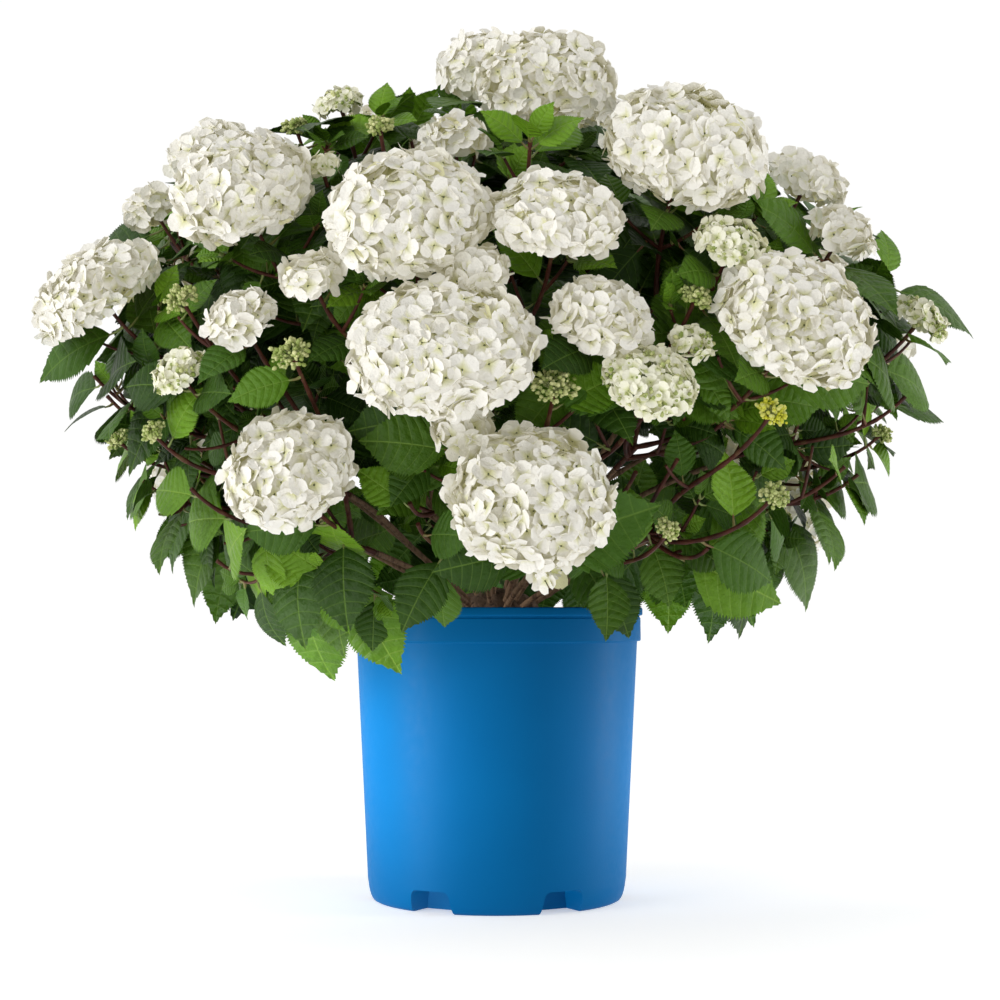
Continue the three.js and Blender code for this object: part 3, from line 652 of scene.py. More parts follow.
def grow_limbs(masses):
    """Canes first, then the side branches that leave them."""
    limbs = {}
    for mass in masses:
        if mass.parent is None:
            aside = unit(mass.fork - root) * (12, 12, 0)
            limbs[mass.name] = cane_path(root + aside, mass.fork)
    for mass in masses:
        if mass.parent is not None:
            limbs[mass.name] = cane_path(limbs[mass.parent].at(0.45), mass.fork)
    return limbs


def grow_shoots(mass, limb, seed):
    """The stem goes straight on from its limb, and every shoot leaves it for its own head."""
    mass.heading = limb.heading(1)
    stream = number_stream(seed)
    for i, shoot in enumerate(mass.shoots):
        along = stem_length * (1 - 0.7 * i / len(mass.shoots))
        start = mass.fork + mass.heading * along
        way = shoot.foot - start
        span = np.linalg.norm(way)
        leaving = unit(mass.heading + unit(way - mass.heading * (way @ mass.heading)))
        shoot.path = Path(start, start + leaving * 0.35 * span, shoot.foot - shoot.axis * 0.4 * span,
                          shoot.foot)
        shoot.twist = math.pi * next(stream)


masses = planned_masses()
limbs = grow_limbs(masses)
for number, mass in enumerate(masses):
    grow_shoots(mass, limbs[mass.name], number)

# ---- The woody base and the old canes ------------------------------------------------------------
# Years of cutting back have left a low knuckle of wood at the top of the mix. Brown canes with
# ridged, flaking bark rise from it, thicker at every joint where a pair of leaves once stood.

foliage_nodes = [node for node in frame["nodes"] if node.startswith("foliage_")]
limb_nodes = [node for node in frame["nodes"] if node.startswith(("cane_", "branch_"))]


def make_base():
    radius, flare, height = 36, 5, 30
    profile = [(0, mix_top - 4), (radius + flare - 1, mix_top - 4), (radius + flare - 2, mix_top + 1)]
    profile += [(radius * wide, mix_top + height * high) for wide, high in
                ((1, 0.22), (0.97, 0.35), (0.9, 0.52), (0.8, 0.68), (0.66, 0.81), (0.5, 0.9),
                 (0.32, 0.95), (0.15, 0.98), (0, 1))]
    body = turned("knuckle_of_wood", profile, 72)
    for vertex in body.data.vertices:
        x, y, z = vertex.co / MM
        turn = math.atan2(y, x)
        ridge = noise.noise((3.2 * math.cos(turn), 3.2 * math.sin(turn), z / 40))
        knots = noise.noise((x / 11, y / 11, z / 11))
        swell = 1 + 0.10 * ridge + 0.09 * knots
        vertex.co.x *= swell
        vertex.co.y *= swell
        vertex.co.z += 2.2 * MM * knots * (z > mix_top + 8)
    return body


def bark_finish(name, dark, light, ridge_depth):
    strips = (240, 6, (1, 1, 0.22))
    stops = [(0.3, dark), (0.52, light), (0.75, dark)]
    return mottled_finish(name, 0.85, 0.25, strips, stops, strips, ridge_depth)


def sum_of(tree, operation, *values, clamp=False):
    """One step of arithmetic on sockets or numbers."""
    sockets = dict(enumerate(values))
    return node_in(tree, "ShaderNodeMath", sockets, operation=operation, use_clamp=clamp).outputs[0]


def drawing_tree():
    """Draws a round limb along every curve, as thick as its points say, and roughens its skin."""
    tree, start, end = tree_of("limb", {
        "Sides": "NodeSocketInt", "Roughness": "NodeSocketFloat", "Patches": "NodeSocketFloat",
        "Finish": "NodeSocketMaterial"})
    asked = start.outputs
    ring = node_in(tree, "GeometryNodeCurvePrimitiveCircle", {"Resolution": asked["Sides"], "Radius": 1})
    thickness = node_in(tree, "GeometryNodeInputRadius")
    limb = node_in(tree, "GeometryNodeCurveToMesh", {
        "Curve": asked["Geometry"], "Profile Curve": ring.outputs["Curve"],
        "Scale": thickness.outputs["Radius"], "Fill Caps": True})
    grain = node_in(tree, "ShaderNodeTexNoise", {"Scale": asked["Patches"], "Detail": 3})
    centred = sum_of(tree, "SUBTRACT", grain.outputs["Fac"], 0.5)
    depth = sum_of(tree, "MULTIPLY", centred, asked["Roughness"])
    facing = node_in(tree, "GeometryNodeInputNormal")
    outward = node_in(tree, "ShaderNodeVectorMath", {0: facing.outputs["Normal"], "Scale": depth},
                      operation="SCALE")
    skin = node_in(tree, "GeometryNodeSetPosition", {
        "Geometry": limb.outputs["Mesh"], "Offset": outward.outputs["Vector"]})
    smooth = node_in(tree, "GeometryNodeSetShadeSmooth", {"Geometry": skin.outputs["Geometry"]})
    return end_tree(tree, start, end, smooth.outputs["Geometry"])


draw_tree = drawing_tree()


def drawn(name, lines, finish, sides, roughness=0.0, patches=100.0):
    """lines: [(points in mm, radii in mm), ...], each drawn as one round limb."""
    curves = bpy.data.curves.new(name, "CURVE")
    curves.dimensions = "3D"
    for points, radii in lines:
        spline = curves.splines.new("POLY")
        spline.points.add(len(points) - 1)
        flat = np.concatenate([np.array(points) * MM, np.ones((len(points), 1))], axis=1)
        spline.points.foreach_set("co", flat.ravel())
        spline.points.foreach_set("radius", np.array(radii) * MM)
    return grown(name, curves, draw_tree, {
        "Sides": sides, "Roughness": roughness * MM, "Patches": patches, "Finish": finish})


def jointed_line(path, foot_radius, tip_radius, step, joint_spacing, swelling):
    """A limb's middle line and radii, thicker at every joint."""
    count = max(4, int(path.length / step))
    shares = np.linspace(0, 1, count + 1)
    along = (1 - shares) * path.length
    from_joint = np.abs((along + joint_spacing / 2) % joint_spacing - joint_spacing / 2)
    radii = foot_radius + (tip_radius - foot_radius) * shares
    return path.at(shares), radii * (1 + swelling * np.exp(-(from_joint / 2.6) ** 2))


old_bark = bark_finish("old_bark", (0.035, 0.022, 0.015), (0.16, 0.105, 0.07), 0.0012)
cane_bark = bark_finish("cane_bark", (0.055, 0.030, 0.018), (0.21, 0.130, 0.075), 0.0006)
dress(make_base(), old_bark, "old_bark", "woody_base", smooth_under=50)
under_bark = 0.74  # of a limb's thickness, so that the joints and ridges swell out to its full size
cane_lines = []
for mass in masses:
    foot_size = cane_foot if mass.parent is None else branch_foot
    cane_lines.append(jointed_line(limbs[mass.name], foot_size * under_bark, cane_tip * under_bark,
                                   3.2, 46, 0.25))
dress(drawn("canes", cane_lines, cane_bark, 9, 0.9, 160), None, "cane_bark", *limb_nodes)

# ---- The shoots ----------------------------------------------------------------------------------
# This year's growth, wine red where the light falls on it. Each is a little swollen where a pair of
# leaves leaves it. Short side shoots in the lower axils carry finer leaves.


def dress_foliage(piece, slot):
    """Dresses a piece that stands for its own kind of thing in every mass of foliage."""
    dress(piece, None, slot, *foliage_nodes)


wine_red = mottled_finish("wine_red_stem", 0.55, 0.2, (130, 4, (1, 1, 0.4)), [
    (0.3, (0.035, 0.010, 0.006)), (0.55, (0.075, 0.019, 0.011)), (0.78, (0.12, 0.075, 0.03))],
    (900, 3), 0.0002)


first_pair, pair_spacing, pair_stagger, last_share = 8, 28, 3.5, 0.12
shoot_foot, shoot_tip = 2.0, 1.4


def stem_line(mass):
    end = mass.fork + mass.heading * (stem_length + 2)
    start = mass.fork + mass.heading * 0.3
    return [start + (end - start) * share for share in (0, 0.35, 0.7, 1)], [2.1, 2.0, 1.95, 1.9]


shoot_lines = [stem_line(mass) for mass in masses]
for mass in masses:
    for shoot in mass.shoots:
        shoot_lines.append(jointed_line(shoot.path, shoot_foot, shoot_tip, 7, pair_spacing, 0.25))

# ---- The leaves ----------------------------------------------------------------------------------
# Oval, toothed leaves in opposite pairs, each pair a quarter turn from the last. The blade is
# quilted between sunken pale veins, and runs out in a drawn tip. Young leaves are small and bright.

leaf_length, leaf_width, leaf_thickness, leaf_droop = 88, 0.68, 1.8, 0.38
lowest_on_left, lowest_on_right = 172, 190
rim_window = (-22, 62, 238)  # from, to and under: where no leaf hangs over the front of the rim
# how far a leaf may reach out sideways at a height: (height, reach), with straight lines between
furthest_reach = [(165, 150), (205, 226), (250, 265), (310, 300), (365, 342), (400, 370), (720, 370)]
pair_sizes = [0.86, 1, 1.06, 1, 0.92, 0.85, 0.8]
blade_sizes = [1, 0.87, 0.75, 0.67]
blade_swings = [0, 0.4, -0.4, 0.8, -0.8]
space_margin = 260

marks = []
for number, mass in enumerate(masses):
    for shoot in mass.shoots:
        marks += [(shoot.path.point(time), 10.0, number) for time in (0.05, 0.3, 0.55, 0.8)]
        marks.append((shoot.middle, max(shoot.radius, 12), number))
marks_at, marks_size, marks_owner = (np.array(column) for column in zip(*marks))
heads = [shoot for mass in masses for shoot in mass.shoots if shoot.radius > 0]
head_middles = np.array([head.middle for head in heads])
head_axes = np.array([head.axis for head in heads])
head_sizes = np.array([(head.radius, head.over, head.under) for head in heads])
outlooks = np.array([outward_of(head.middle) for head in heads])
in_front = head_middles[:, 1] < 0


def in_own_space(points, owner):
    """Whether each point lies closest to a head or shoot of its own mass, heads counting by size."""
    measure = ((points[:, None] - marks_at) ** 2).sum(2) - marks_size ** 2
    own = measure[:, marks_owner == owner].min(1)
    other = measure[:, marks_owner != owner].min(1)
    return own + space_margin < other


def in_a_head(points):
    offset = points[:, None] - head_middles
    along = (offset * head_axes).sum(2)
    aside = np.sqrt(np.maximum(0, (offset ** 2).sum(2) - along ** 2))
    depth = along / np.where(along > 0, head_sizes[:, 1], head_sizes[:, 2])
    inside = np.hypot(aside, depth) < head_sizes[:, 0]
    before = stands_before(offset, outlooks) | (stands_before(offset, np.array([0, -1, 0])) & in_front)
    return (inside | before).any(1)


def stands_before(offset, outlook):
    """Whether a point hides the middle of a head from someone who looks at it."""
    ahead = (offset * outlook).sum(2)
    return (ahead > 0) & ((offset ** 2).sum(2) - ahead ** 2 < (0.8 * head_sizes[:, 0]) ** 2)


def in_pot(points):
    reach = np.hypot(points[:, 0], points[:, 1])
    height = points[:, 2]
    mouth = (height < pot_height + 3) & (reach < lip_radius + 3)
    knuckle = (height < mix_top + 33) & (reach < 44)
    x, y = points[:, 0], points[:, 1]
    window = (y < 0) & (height < rim_window[2]) & (x > rim_window[0]) & (x < rim_window[1])
    return mouth | knuckle | window | (height < np.where(x < 0, lowest_on_left, lowest_on_right))


def past_the_outline(points, share):
    reach = np.hypot(points[:, 0], points[:, 1] * crown_across / crown_deep)
    return reach > share * np.interp(points[:, 2], *np.array(furthest_reach).T)


limb_lines = [path.at(np.linspace(0, 1, 4)) for path in limbs.values()]
limb_starts = np.concatenate([line[:-1] for line in limb_lines])
limb_ways = np.concatenate([np.diff(line, axis=0) for line in limb_lines])


def on_a_limb(points):
    offset = points[:, None] - limb_starts
    share = np.clip((offset * limb_ways).sum(2) / (limb_ways ** 2).sum(1), 0, 1)
    gap = np.linalg.norm(offset - share[..., None] * limb_ways, axis=2)
    return (gap < cane_foot + 1).any(1)


def segments_hit(starts, ends, triangles):
    """Whether any of the segments passes through any of the triangles."""
    way = (ends - starts)[:, None]
    a, b, c = triangles[:, 0], triangles[:, 1], triangles[:, 2]
    cross = np.cross(way, c - a)
    det = (cross * (b - a)).sum(2)
    safe = np.where(np.abs(det) < 1e-9, 1e-9, det)
    offset = starts[:, None] - a
    first = (offset * cross).sum(2) / safe
    turn = np.cross(offset, b - a)
    second = (way * turn).sum(2) / safe
    along = (turn * (c - a)).sum(2) / safe
    return ((first >= 0) & (second >= 0) & (first + second <= 1) & (along > 0) & (along < 1)).any()


def blade_halves(corners):
    foot, left, tip, right = corners
    return [(foot, left, tip), (foot, tip, right)]


def blade_edges(corners):
    foot, left, tip, right = corners
    start = foot + (tip - foot) * 0.1
    return [(start, left), (left, tip), (tip, right), (right, start), (start, tip)]


class Spray:
    """The leaves of one mass, which keep to its space and don't run through one another."""

    outline_share = 1  # how much of the furthest reach its leaves may use

    def __init__(self, owner, lines, broadside):
        self.owner, self.broadside, self.halves, self.edges = owner, broadside, [], []
        self.starts = np.array([a for a, b in lines])
        self.ends = np.array([b for a, b in lines])

    def probes(self, corners):
        foot, left, tip, right = corners
        spans = ((foot, left), (left, tip), (tip, right), (right, foot), (left, right))
        inner = [(a + b) / 2 for a, b in spans]
        along = [foot + (tip - foot) * share for share in (0.25, 0.7, 0.85)]
        return np.array([left, tip, right, *inner, *along])

    def fits(self, corners):
        points = self.probes(corners)
        if (in_pot(points).any() or not in_own_space(points, self.owner).all()
                or past_the_outline(points, self.outline_share).any()
                or in_a_head(points).any() or on_a_limb(points).any()):
            return False
        foot, left, tip, right = corners
        blade = np.array(blade_halves((foot + (tip - foot) * 0.2, left, tip, right)))
        if segments_hit(self.starts, self.ends, blade):
            return False
        if not self.halves:
            return True
        edges = np.array(blade_edges(corners))
        others = np.array(self.edges)
        return not (segments_hit(edges[:, 0], edges[:, 1], np.array(self.halves))
                    or segments_hit(others[:, 0], others[:, 1], np.array(blade_halves(corners))))

    def add(self, corners):
        self.halves += blade_halves(corners)
        self.edges += blade_edges(corners)


def turned_about(vector, axis, angle):
    return (vector * math.cos(angle) + np.cross(axis, vector) * math.sin(angle)
            + axis * (axis @ vector) * (1 - math.cos(angle)))


def fitted_blade(spray, node, line, turn, lean, length):
    """The blade that fits at a node: the full size first, then smaller, each swung to both sides."""
    across = unit(np.cross(line, up))
    facing = unit(node - heart) * 0.9 + line * 0.4 + up * 0.45 + spray.broadside
    for size in blade_sizes:
        for swing in blade_swings:
            outward = turned_about(across, line, turn + swing)
            along = unit(line * math.cos(lean) + outward * math.sin(lean) - up * leaf_droop)
            side = unit(np.cross(facing, along))
            face = unit(np.cross(along, side))
            reach = length * size
            middle = node + along * 0.44 * reach - face * leaf_thickness * reach / leaf_length
            corners = (node, middle + side * leaf_width / 2 * reach, node + along * reach,
                       middle - side * leaf_width / 2 * reach)
            if spray.fits(corners):
                spray.add(corners)
                return node, np.array([along, side, face]).T, reach
    return None


def leafy_shoot(spray, stream, path, back_first, pairs, size, twist, from_pair=0):
    """Opposite pairs down a shoot from its tip. Returns [(pair, half, leaf), ...]."""
    leaves = []
    for pair in range(from_pair, pairs):
        for half in (0, 1):
            share = 1 - (back_first + first_pair + pair * pair_spacing + half * pair_stagger) / path.length
            if share < last_share:
                return leaves
            turn = twist + pair * math.pi / 2 + half * math.pi
            lean = math.radians(62 + 6 * pair + 12 * next(stream))
            length = leaf_length * size * pair_sizes[pair] * (0.9 + 0.2 * next(stream))
            leaf = fitted_blade(spray, path.at(share), path.heading(share), turn, lean, length)
            if leaf:
                leaves.append((pair, half, leaf))
    return leaves


bright_masses = {"top", "top_left", "upper_left", "right_low", "left_low", "back_top_left", "front"}
leaf_places = {"deep": [], "green": [], "young": []}
side_lines = []


def terminal_tuft(spray, stream, path, size, twist):
    """The youngest leaves, half unfolded round the end of a shoot."""
    leaves = []
    for pair in (0, 1):
        for half in (0, 1):
            turn = twist + (pair + 0.5) * math.pi / 2 + half * math.pi
            lean = math.radians(20 + 16 * pair + 10 * next(stream))
            length = leaf_length * size * (0.34 + 0.16 * pair) * (0.85 + 0.3 * next(stream))
            node = path.at(1 - pair * 5 / path.length)
            leaf = fitted_blade(spray, node, path.heading(1), turn, lean, length)
            if leaf:
                leaves.append(leaf)
    return leaves


def tone_of(mass, shoot, pair, draw):
    """Young growth is bright, and the older leaves of a shoot share one green."""
    if shoot.kind == "buds" and pair < 2 and draw < 0.75:
        return "young"
    if shoot.kind == "leafy" and mass.name in bright_masses and pair < 2:
        return "young"
    return "green" if draw > 0.62 else "deep"


def side_shoot(shoot, share, turn, length):
    """A short shoot out of an axil that bends up to the light."""
    start, line = shoot.path.at(share), shoot.path.heading(share)
    outward = turned_about(unit(np.cross(line, up)), line, turn)
    leaving = unit(line * 0.6 + outward)
    bend = start + leaving * length * 0.55
    return Path(start, bend, bend + unit(leaving + up * 0.6) * length * 0.5)


for number, mass in enumerate(masses):
    stream = number_stream(500 + number)
    fine = number_stream(900 + number)
    twigs = []
    for shoot in mass.shoots:
        points = shoot.path.at([0, 0.5, 1])
        twigs += list(zip(points, points[1:]))
    spray = Spray(number, twigs, mass.broadside)
    for shoot in mass.shoots:
        back = 0.35 * shoot.under * shoot.radius
        leaves = leafy_shoot(spray, stream, shoot.path, back, shoot.pairs, shoot.leaf_size, shoot.twist)
        draw = next(fine)
        for pair, half, leaf in leaves:
            leaf_places[tone_of(mass, shoot, pair, draw)].append(leaf)
    spray.outline_share = 0.86
    for shoot in mass.shoots:
        if shoot.kind == "leafy":
            leaf_places["young"] += terminal_tuft(spray, fine, shoot.path, 1, shoot.twist)
        back = 0.35 * shoot.under * shoot.radius
        draw = next(fine)
        lower = leafy_shoot(spray, fine, shoot.path, back, 7, 0.85, shoot.twist, shoot.pairs)
        leaf_places["deep" if draw < 0.6 else "green"] += [leaf for pair, half, leaf in lower]
        for pair in (1, 2, 3):
            share = 1 - (back + first_pair + (pair + 0.1) * pair_spacing) / shoot.path.length
            if share < last_share:
                break
            for half in (0, 1):
                turn = shoot.twist + pair * math.pi / 2 + half * math.pi + 0.5
                path = side_shoot(shoot, share, turn, 34 + 16 * next(fine))
                tip = path.at([0.6, 1])
                if in_pot(tip).any() or in_a_head(tip).any() or not in_own_space(tip, number).all():
                    continue
                twist = 2 * math.pi * next(fine)
                few = leafy_shoot(spray, fine, path, -5, 2, 0.66, twist)
                if few:
                    side_lines.append(jointed_line(path, 1.5, 1.0, 5, 25, 0.15))
                    draw = next(fine)
                    tone = "young" if draw > 0.86 else "green" if draw > 0.5 else "deep"
                    leaf_places[tone] += [leaf for pair, half, leaf in few]
                    tuft = terminal_tuft(spray, fine, path, 0.75, twist)
                    leaf_places["young" if draw > 0.4 else "green"] += tuft

dress_foliage(drawn("shoots", shoot_lines + side_lines, wine_red, 6, 0.25, 400), "shoot_stem")

stalk_share = 0.15  # of a leaf's length from its node to the foot of its blade


# Half the width of the blade along it, as a share of its greatest: oval, with a drawn-out tip.
blade_outline = [(0, 0), (0.04, 0.2), (0.1, 0.45), (0.18, 0.71), (0.27, 0.89), (0.36, 0.98), (0.44, 1),
                 (0.52, 0.96), (0.6, 0.88), (0.7, 0.7), (0.78, 0.5), (0.85, 0.3), (0.91, 0.15),
                 (0.96, 0.06), (1, 0)]
veins = 7  # on each side of the midrib
vein_straight, vein_curved = 0.13, 0.15  # how a vein runs on towards the tip before it meets the edge


def blade_half_width(share):
    return leaf_width / 2 * np.interp(share, *np.array(blade_outline).T)


def along_vein(rib, side):
    """The share along the blade of a point on the vein from this rib, at a distance from the midrib."""
    out = side / (leaf_width / 2)
    return rib + (vein_straight * out + vein_curved * out ** 2) * (1 - rib)


def vein_end(rib):
    share = rib
    for _ in range(8):
        share = along_vein(rib, blade_half_width(share))
    return share


def leaf_shape(name, arch, cup, curl, twist):
    """A blade from its stalk's end to its tip at x = 1. Three teeth stand from one vein to the next."""
    span = 1 - stalk_share
    points, along, aside = [], [], []

    def put(share, side, lift):
        """A point at a share along the blade and a signed distance from the midrib."""
        x = stalk_share + span * share
        z = arch * math.sin(math.pi * share) * (1 - 0.25 * share) - 0.05 * share ** 3 + lift
        z += cup * abs(side) - curl * side ** 2
        lean = twist * (share - 0.4)
        points.append((x, side * math.cos(lean), z + side * math.sin(lean)))
        along.append(share)
        aside.append(side)
        return len(points) - 1

    ribs = [0.9 * k / veins for k in range(veins)] + [1]
    reach = [0] + [vein_end(rib) for rib in ribs[1:-1]] + [1]
    rib_points = [put(rib, 0, -0.005) for rib in ribs]
    faces = []
    for side in (1, -1):
        ends, halves = [rib_points[0]], [rib_points[0]]
        for k in range(1, veins):
            tooth = blade_half_width(reach[k]) * 1.03
            halves.append(put(along_vein(ribs[k], tooth * 0.5), side * tooth * 0.5, -0.002))
            ends.append(put(reach[k] + 0.014, side * tooth, 0))
        ends.append(rib_points[veins])
        halves.append(rib_points[veins])
        for k in range(veins):
            low, high = reach[k], reach[k + 1]
            cuts = [low + (high - low) * share for share in (0.2, 0.42, 0.52, 0.74, 0.84)]
            notch, point = (0, 0.925), (0.018, 1.05)
            edge = [put(cut + lean, side * blade_half_width(cut) * wide, 0.002)
                    for cut, (lean, wide) in zip(cuts, (notch, point, notch, point, notch))]
            crest_at = (ribs[k] + ribs[k + 1] + low + high) / 4
            crest = put(crest_at, side * blade_half_width(crest_at) * 0.5, 0.006)
            fan = [(rib_points[k], rib_points[k + 1], crest), (rib_points[k], crest, halves[k]),
                   (rib_points[k + 1], halves[k + 1], crest), (halves[k], crest, edge[0]),
                   (halves[k], edge[0], ends[k]), (crest, edge[1], edge[0]), (crest, edge[2], edge[1]),
                   (crest, edge[3], edge[2]), (crest, edge[4], edge[3]),
                   (crest, halves[k + 1], edge[4]), (halves[k + 1], ends[k + 1], edge[4])]
            for face in fan:
                if len(set(face)) == 3:
                    faces.append(face if side > 0 else face[::-1])
    return shape_of(name, points, faces, along=along, aside=aside)


def leaf_shapes():
    return [leaf_shape("a", 0.06, 0.08, 0.25, 0.2), leaf_shape("b", 0.09, 0.0, 0.3, -0.35),
            leaf_shape("c", 0.04, 0.22, 0.2, 0.4), leaf_shape("d", 0.07, 0.14, 0.5, -0.15)]


def mark_of(tree, title):
    return node_in(tree, "ShaderNodeAttribute", attribute_name=title).outputs["Fac"]


def blend_of(tree, amount, under, over):
    """The under colour with the over colour on it."""
    sockets = {"Factor": amount, "A": under, "B": (*over, 1)}
    return node_in(tree, "ShaderNodeMix", sockets, data_type="RGBA").outputs["Result"]


def leaf_finish(name, dark, light, vein, roughness):
    """Blade colours that shift softly, each leaf a little lighter or darker, the leaves deep inside painted
    darker as shade, and fine pale veins with the blade quilted between them."""
    finish, tree, shader = new_finish(name, roughness, 0.2)
    shade = sum_of(tree, "MULTIPLY_ADD", mottle(tree, 55, 4), 0.45, mark_of(tree, "tint"))
    blade = ramp(tree, shade, [(0.15, dark), (0.85, light)])
    along = mark_of(tree, "along")
    aside = sum_of(tree, "ABSOLUTE", mark_of(tree, "aside"))
    out = sum_of(tree, "MULTIPLY", aside, 2 / leaf_width)
    rise = sum_of(tree, "MULTIPLY", out, sum_of(tree, "MULTIPLY_ADD", out, vein_curved, vein_straight))
    rib = sum_of(tree, "DIVIDE", sum_of(tree, "SUBTRACT", along, rise), sum_of(tree, "SUBTRACT", 1.0, rise))
    count = sum_of(tree, "MULTIPLY", rib, veins / 0.9)
    from_vein = sum_of(tree, "PINGPONG", count, 0.5)
    from_midrib = sum_of(tree, "MULTIPLY", aside, 9.0)
    nearest = sum_of(tree, "MINIMUM", from_vein, from_midrib)
    thin_line = sum_of(tree, "MULTIPLY_ADD", from_vein, -5.0, 0.42, clamp=True)
    thick_line = sum_of(tree, "MULTIPLY_ADD", from_midrib, -9.0, 0.95, clamp=True)
    line = sum_of(tree, "MAXIMUM", thin_line, thick_line)
    veined = blend_of(tree, sum_of(tree, "MULTIPLY", line, 0.6), blade, vein)
    tree.links.new(veined, shader.inputs["Base Color"])
    quilt = sum_of(tree, "POWER", sum_of(tree, "MULTIPLY", nearest, 2.0, clamp=True), 0.6)
    puckered = sum_of(tree, "MULTIPLY_ADD", mottle(tree, 240, 5), 2.2, quilt)
    relief(tree, shader, puckered, 0.0007)
    return finish


# For each tone: the dark and light blade colours, the vein colour and the roughness. The dark end is partly
# painted shade, as the leaves deep inside are drawn towards it.
leaf_tones = {
    "deep": ((0.004, 0.018, 0.001), (0.046, 0.118, 0.007), (0.16, 0.28, 0.04), 0.48),
    "green": ((0.008, 0.030, 0.001), (0.080, 0.182, 0.009), (0.20, 0.33, 0.05), 0.46),
    "young": ((0.030, 0.100, 0.001), (0.165, 0.330, 0.016), (0.30, 0.46, 0.07), 0.43),
}


def out_of_painted_shade(node):
    """From 0 for the leaves deep inside, painted darker as shade, to 1 for those out in the light."""
    out = np.linalg.norm((node - heart) / (crown_across, crown_deep, crown_rise))
    return np.interp(out, (0.4, 0.8), (0, 1))


stalk_lines = []
shown_larger = 1.1  # a toothed blade reaches this much further than the kite that was fitted for it
for number, (tone, leaves) in enumerate(leaf_places.items()):
    stream = number_stream(40 + number)
    places = []
    for node, turn, reach in leaves:
        reach *= shown_larger
        pick, draw, narrow = int(4 * next(stream)), next(stream), 0.84 + 0.14 * next(stream)
        # Painted shade: the tint, and with it the leaf's colour, drops towards the dark end for leaves deep
        # inside the crown.
        tint = (0.15 + 0.55 * draw) * out_of_painted_shade(node)
        places.append((node, turn, (reach, reach * narrow, reach), pick, tint))
        along, side, face = turn.T
        end = node + along * reach * stalk_share * 1.04
        bend = node + along * reach * stalk_share * 0.5 - up * 0.8
        stalk_lines.append(([node, bend, end + along * reach * 0.02], [1.4, 1.0, 0.6]))
    dark, light, vein, roughness = leaf_tones[tone]
    finish = leaf_finish(tone + "_leaf", dark, light, vein, roughness)
    dress_foliage(strewn("leaves_" + tone, leaf_shapes(), places, finish), "leaf")

pale_stalk = mottled_finish("pale_stalk", 0.5, 0.4, (60, 3), [
    (0.35, (0.16, 0.065, 0.03)), (0.5, (0.17, 0.20, 0.05)), (0.7, (0.22, 0.30, 0.08))])
dress_foliage(drawn("leaf_stalks", stalk_lines, pale_stalk, 4), "leaf")

# ---- The heads of bloom --------------------------------------------------------------------------
# A mophead is a ball of sterile florets, each of four broad cream-white sepals round a small bead.
# They sit on thin forked stalks, with a second, greener layer showing between the outer ones.

golden_turn = math.pi * (3 - math.sqrt(5))


def floret_shape(name, cup, wave, seed):
    """Four broad sepals of unit length round a bead, each lifted, sized and turned a little its own way."""
    stream = number_stream(seed)
    outline = [(0.06, 0.05), (0.38, 0.43), (0.76, 0.52), (1.0, 0.16)]
    sides = 2 * len(outline)
    points, faces, eye, depth = [], [], [], []
    for sepal in range(4):
        lift = 0.07 * (sepal % 2)
        size = 0.88 + 0.2 * next(stream)
        turn = sepal * math.pi / 2 + 0.25 * (next(stream) - 0.5)
        rise = cup + 0.45 * (next(stream) - 0.5)
        roll = 0.5 * (next(stream) - 0.5)
        rows = outline + [(u, -v) for u, v in outline[::-1]] + [(0.42, 0.0), (0.74, 0.0)]
        first = len(points)
        for i, (u, v) in enumerate(rows):
            ruffle = -0.06 if i >= sides else 0.16 * u * (next(stream) - 0.5)
            z = lift + rise * u ** 1.6 + wave * v * v + roll * v * u + ruffle
            x, y = u * size, v * size * 1.06
            points.append((x * math.cos(turn) - y * math.sin(turn),
                           x * math.sin(turn) + y * math.cos(turn), z))
            eye.append(0.0)
            depth.append(u)
        near, far = first + sides, first + sides + 1
        ring = [first + i for i in range(sides)]
        for i in range(sides):
            middle = near if i in (0, sides - 2, sides - 1) else far
            faces.append((middle, ring[(i + 1) % sides], ring[i]))
        faces += [(near, far, ring[1]), (near, ring[sides - 2], far)]
    bead = len(points)
    points += [(0.08 * math.cos(turn), 0.08 * math.sin(turn), 0.03) for turn in np.arange(5) * 0.4 * math.pi]
    points.append((0, 0, 0.15))
    eye += [1.0] * 6
    depth += [0.0] * 6
    faces += [(bead + i, bead + (i + 1) % 5, bead + 5) for i in range(5)]
    return shape_of(name, points, faces, eye=eye, depth=depth)


def floret_shapes():
    return [floret_shape(name, cup, wave, seed) for name, cup, wave, seed in
            (("a", 0.10, 0.25, 61), ("b", 0.28, 0.1, 62), ("c", -0.08, 0.35, 63),
             ("d", 0.18, -0.2, 64), ("e", 0.0, 0.15, 65), ("f", 0.38, 0.3, 66))]


def petal_finish(name, heart_colour, rim_colour, eye_colour):
    finish, tree, shader = new_finish(name, 0.6, 0.25)
    sepal = ramp(tree, mark_of(tree, "depth"), [(0.05, heart_colour), (0.5, rim_colour)])
    tree.links.new(blend_of(tree, mark_of(tree, "eye"), sepal, eye_colour), shader.inputs["Base Color"])
    # Painted light: the sepals glow faintly yellow of their own, standing in for light that comes through
    # them and lifting their shade.
    shader.inputs["Emission Color"].default_value = (1, 0.94, 0.5, 1)  # light that comes through them
    shader.inputs["Emission Strength"].default_value = 0.05
    relief(tree, shader, mottle(tree, 330, 4), 0.0012)
    return finish


def turn_to(axis):
    """The 3x3 turn that takes the Z axis to this one."""
    return np.array(Vector((0, 0, 1)).rotation_difference(Vector(axis)).to_matrix())


def spun_about(normal, spin):
    return turn_to(normal) @ np.array(Matrix.Rotation(spin, 3, "Z"))


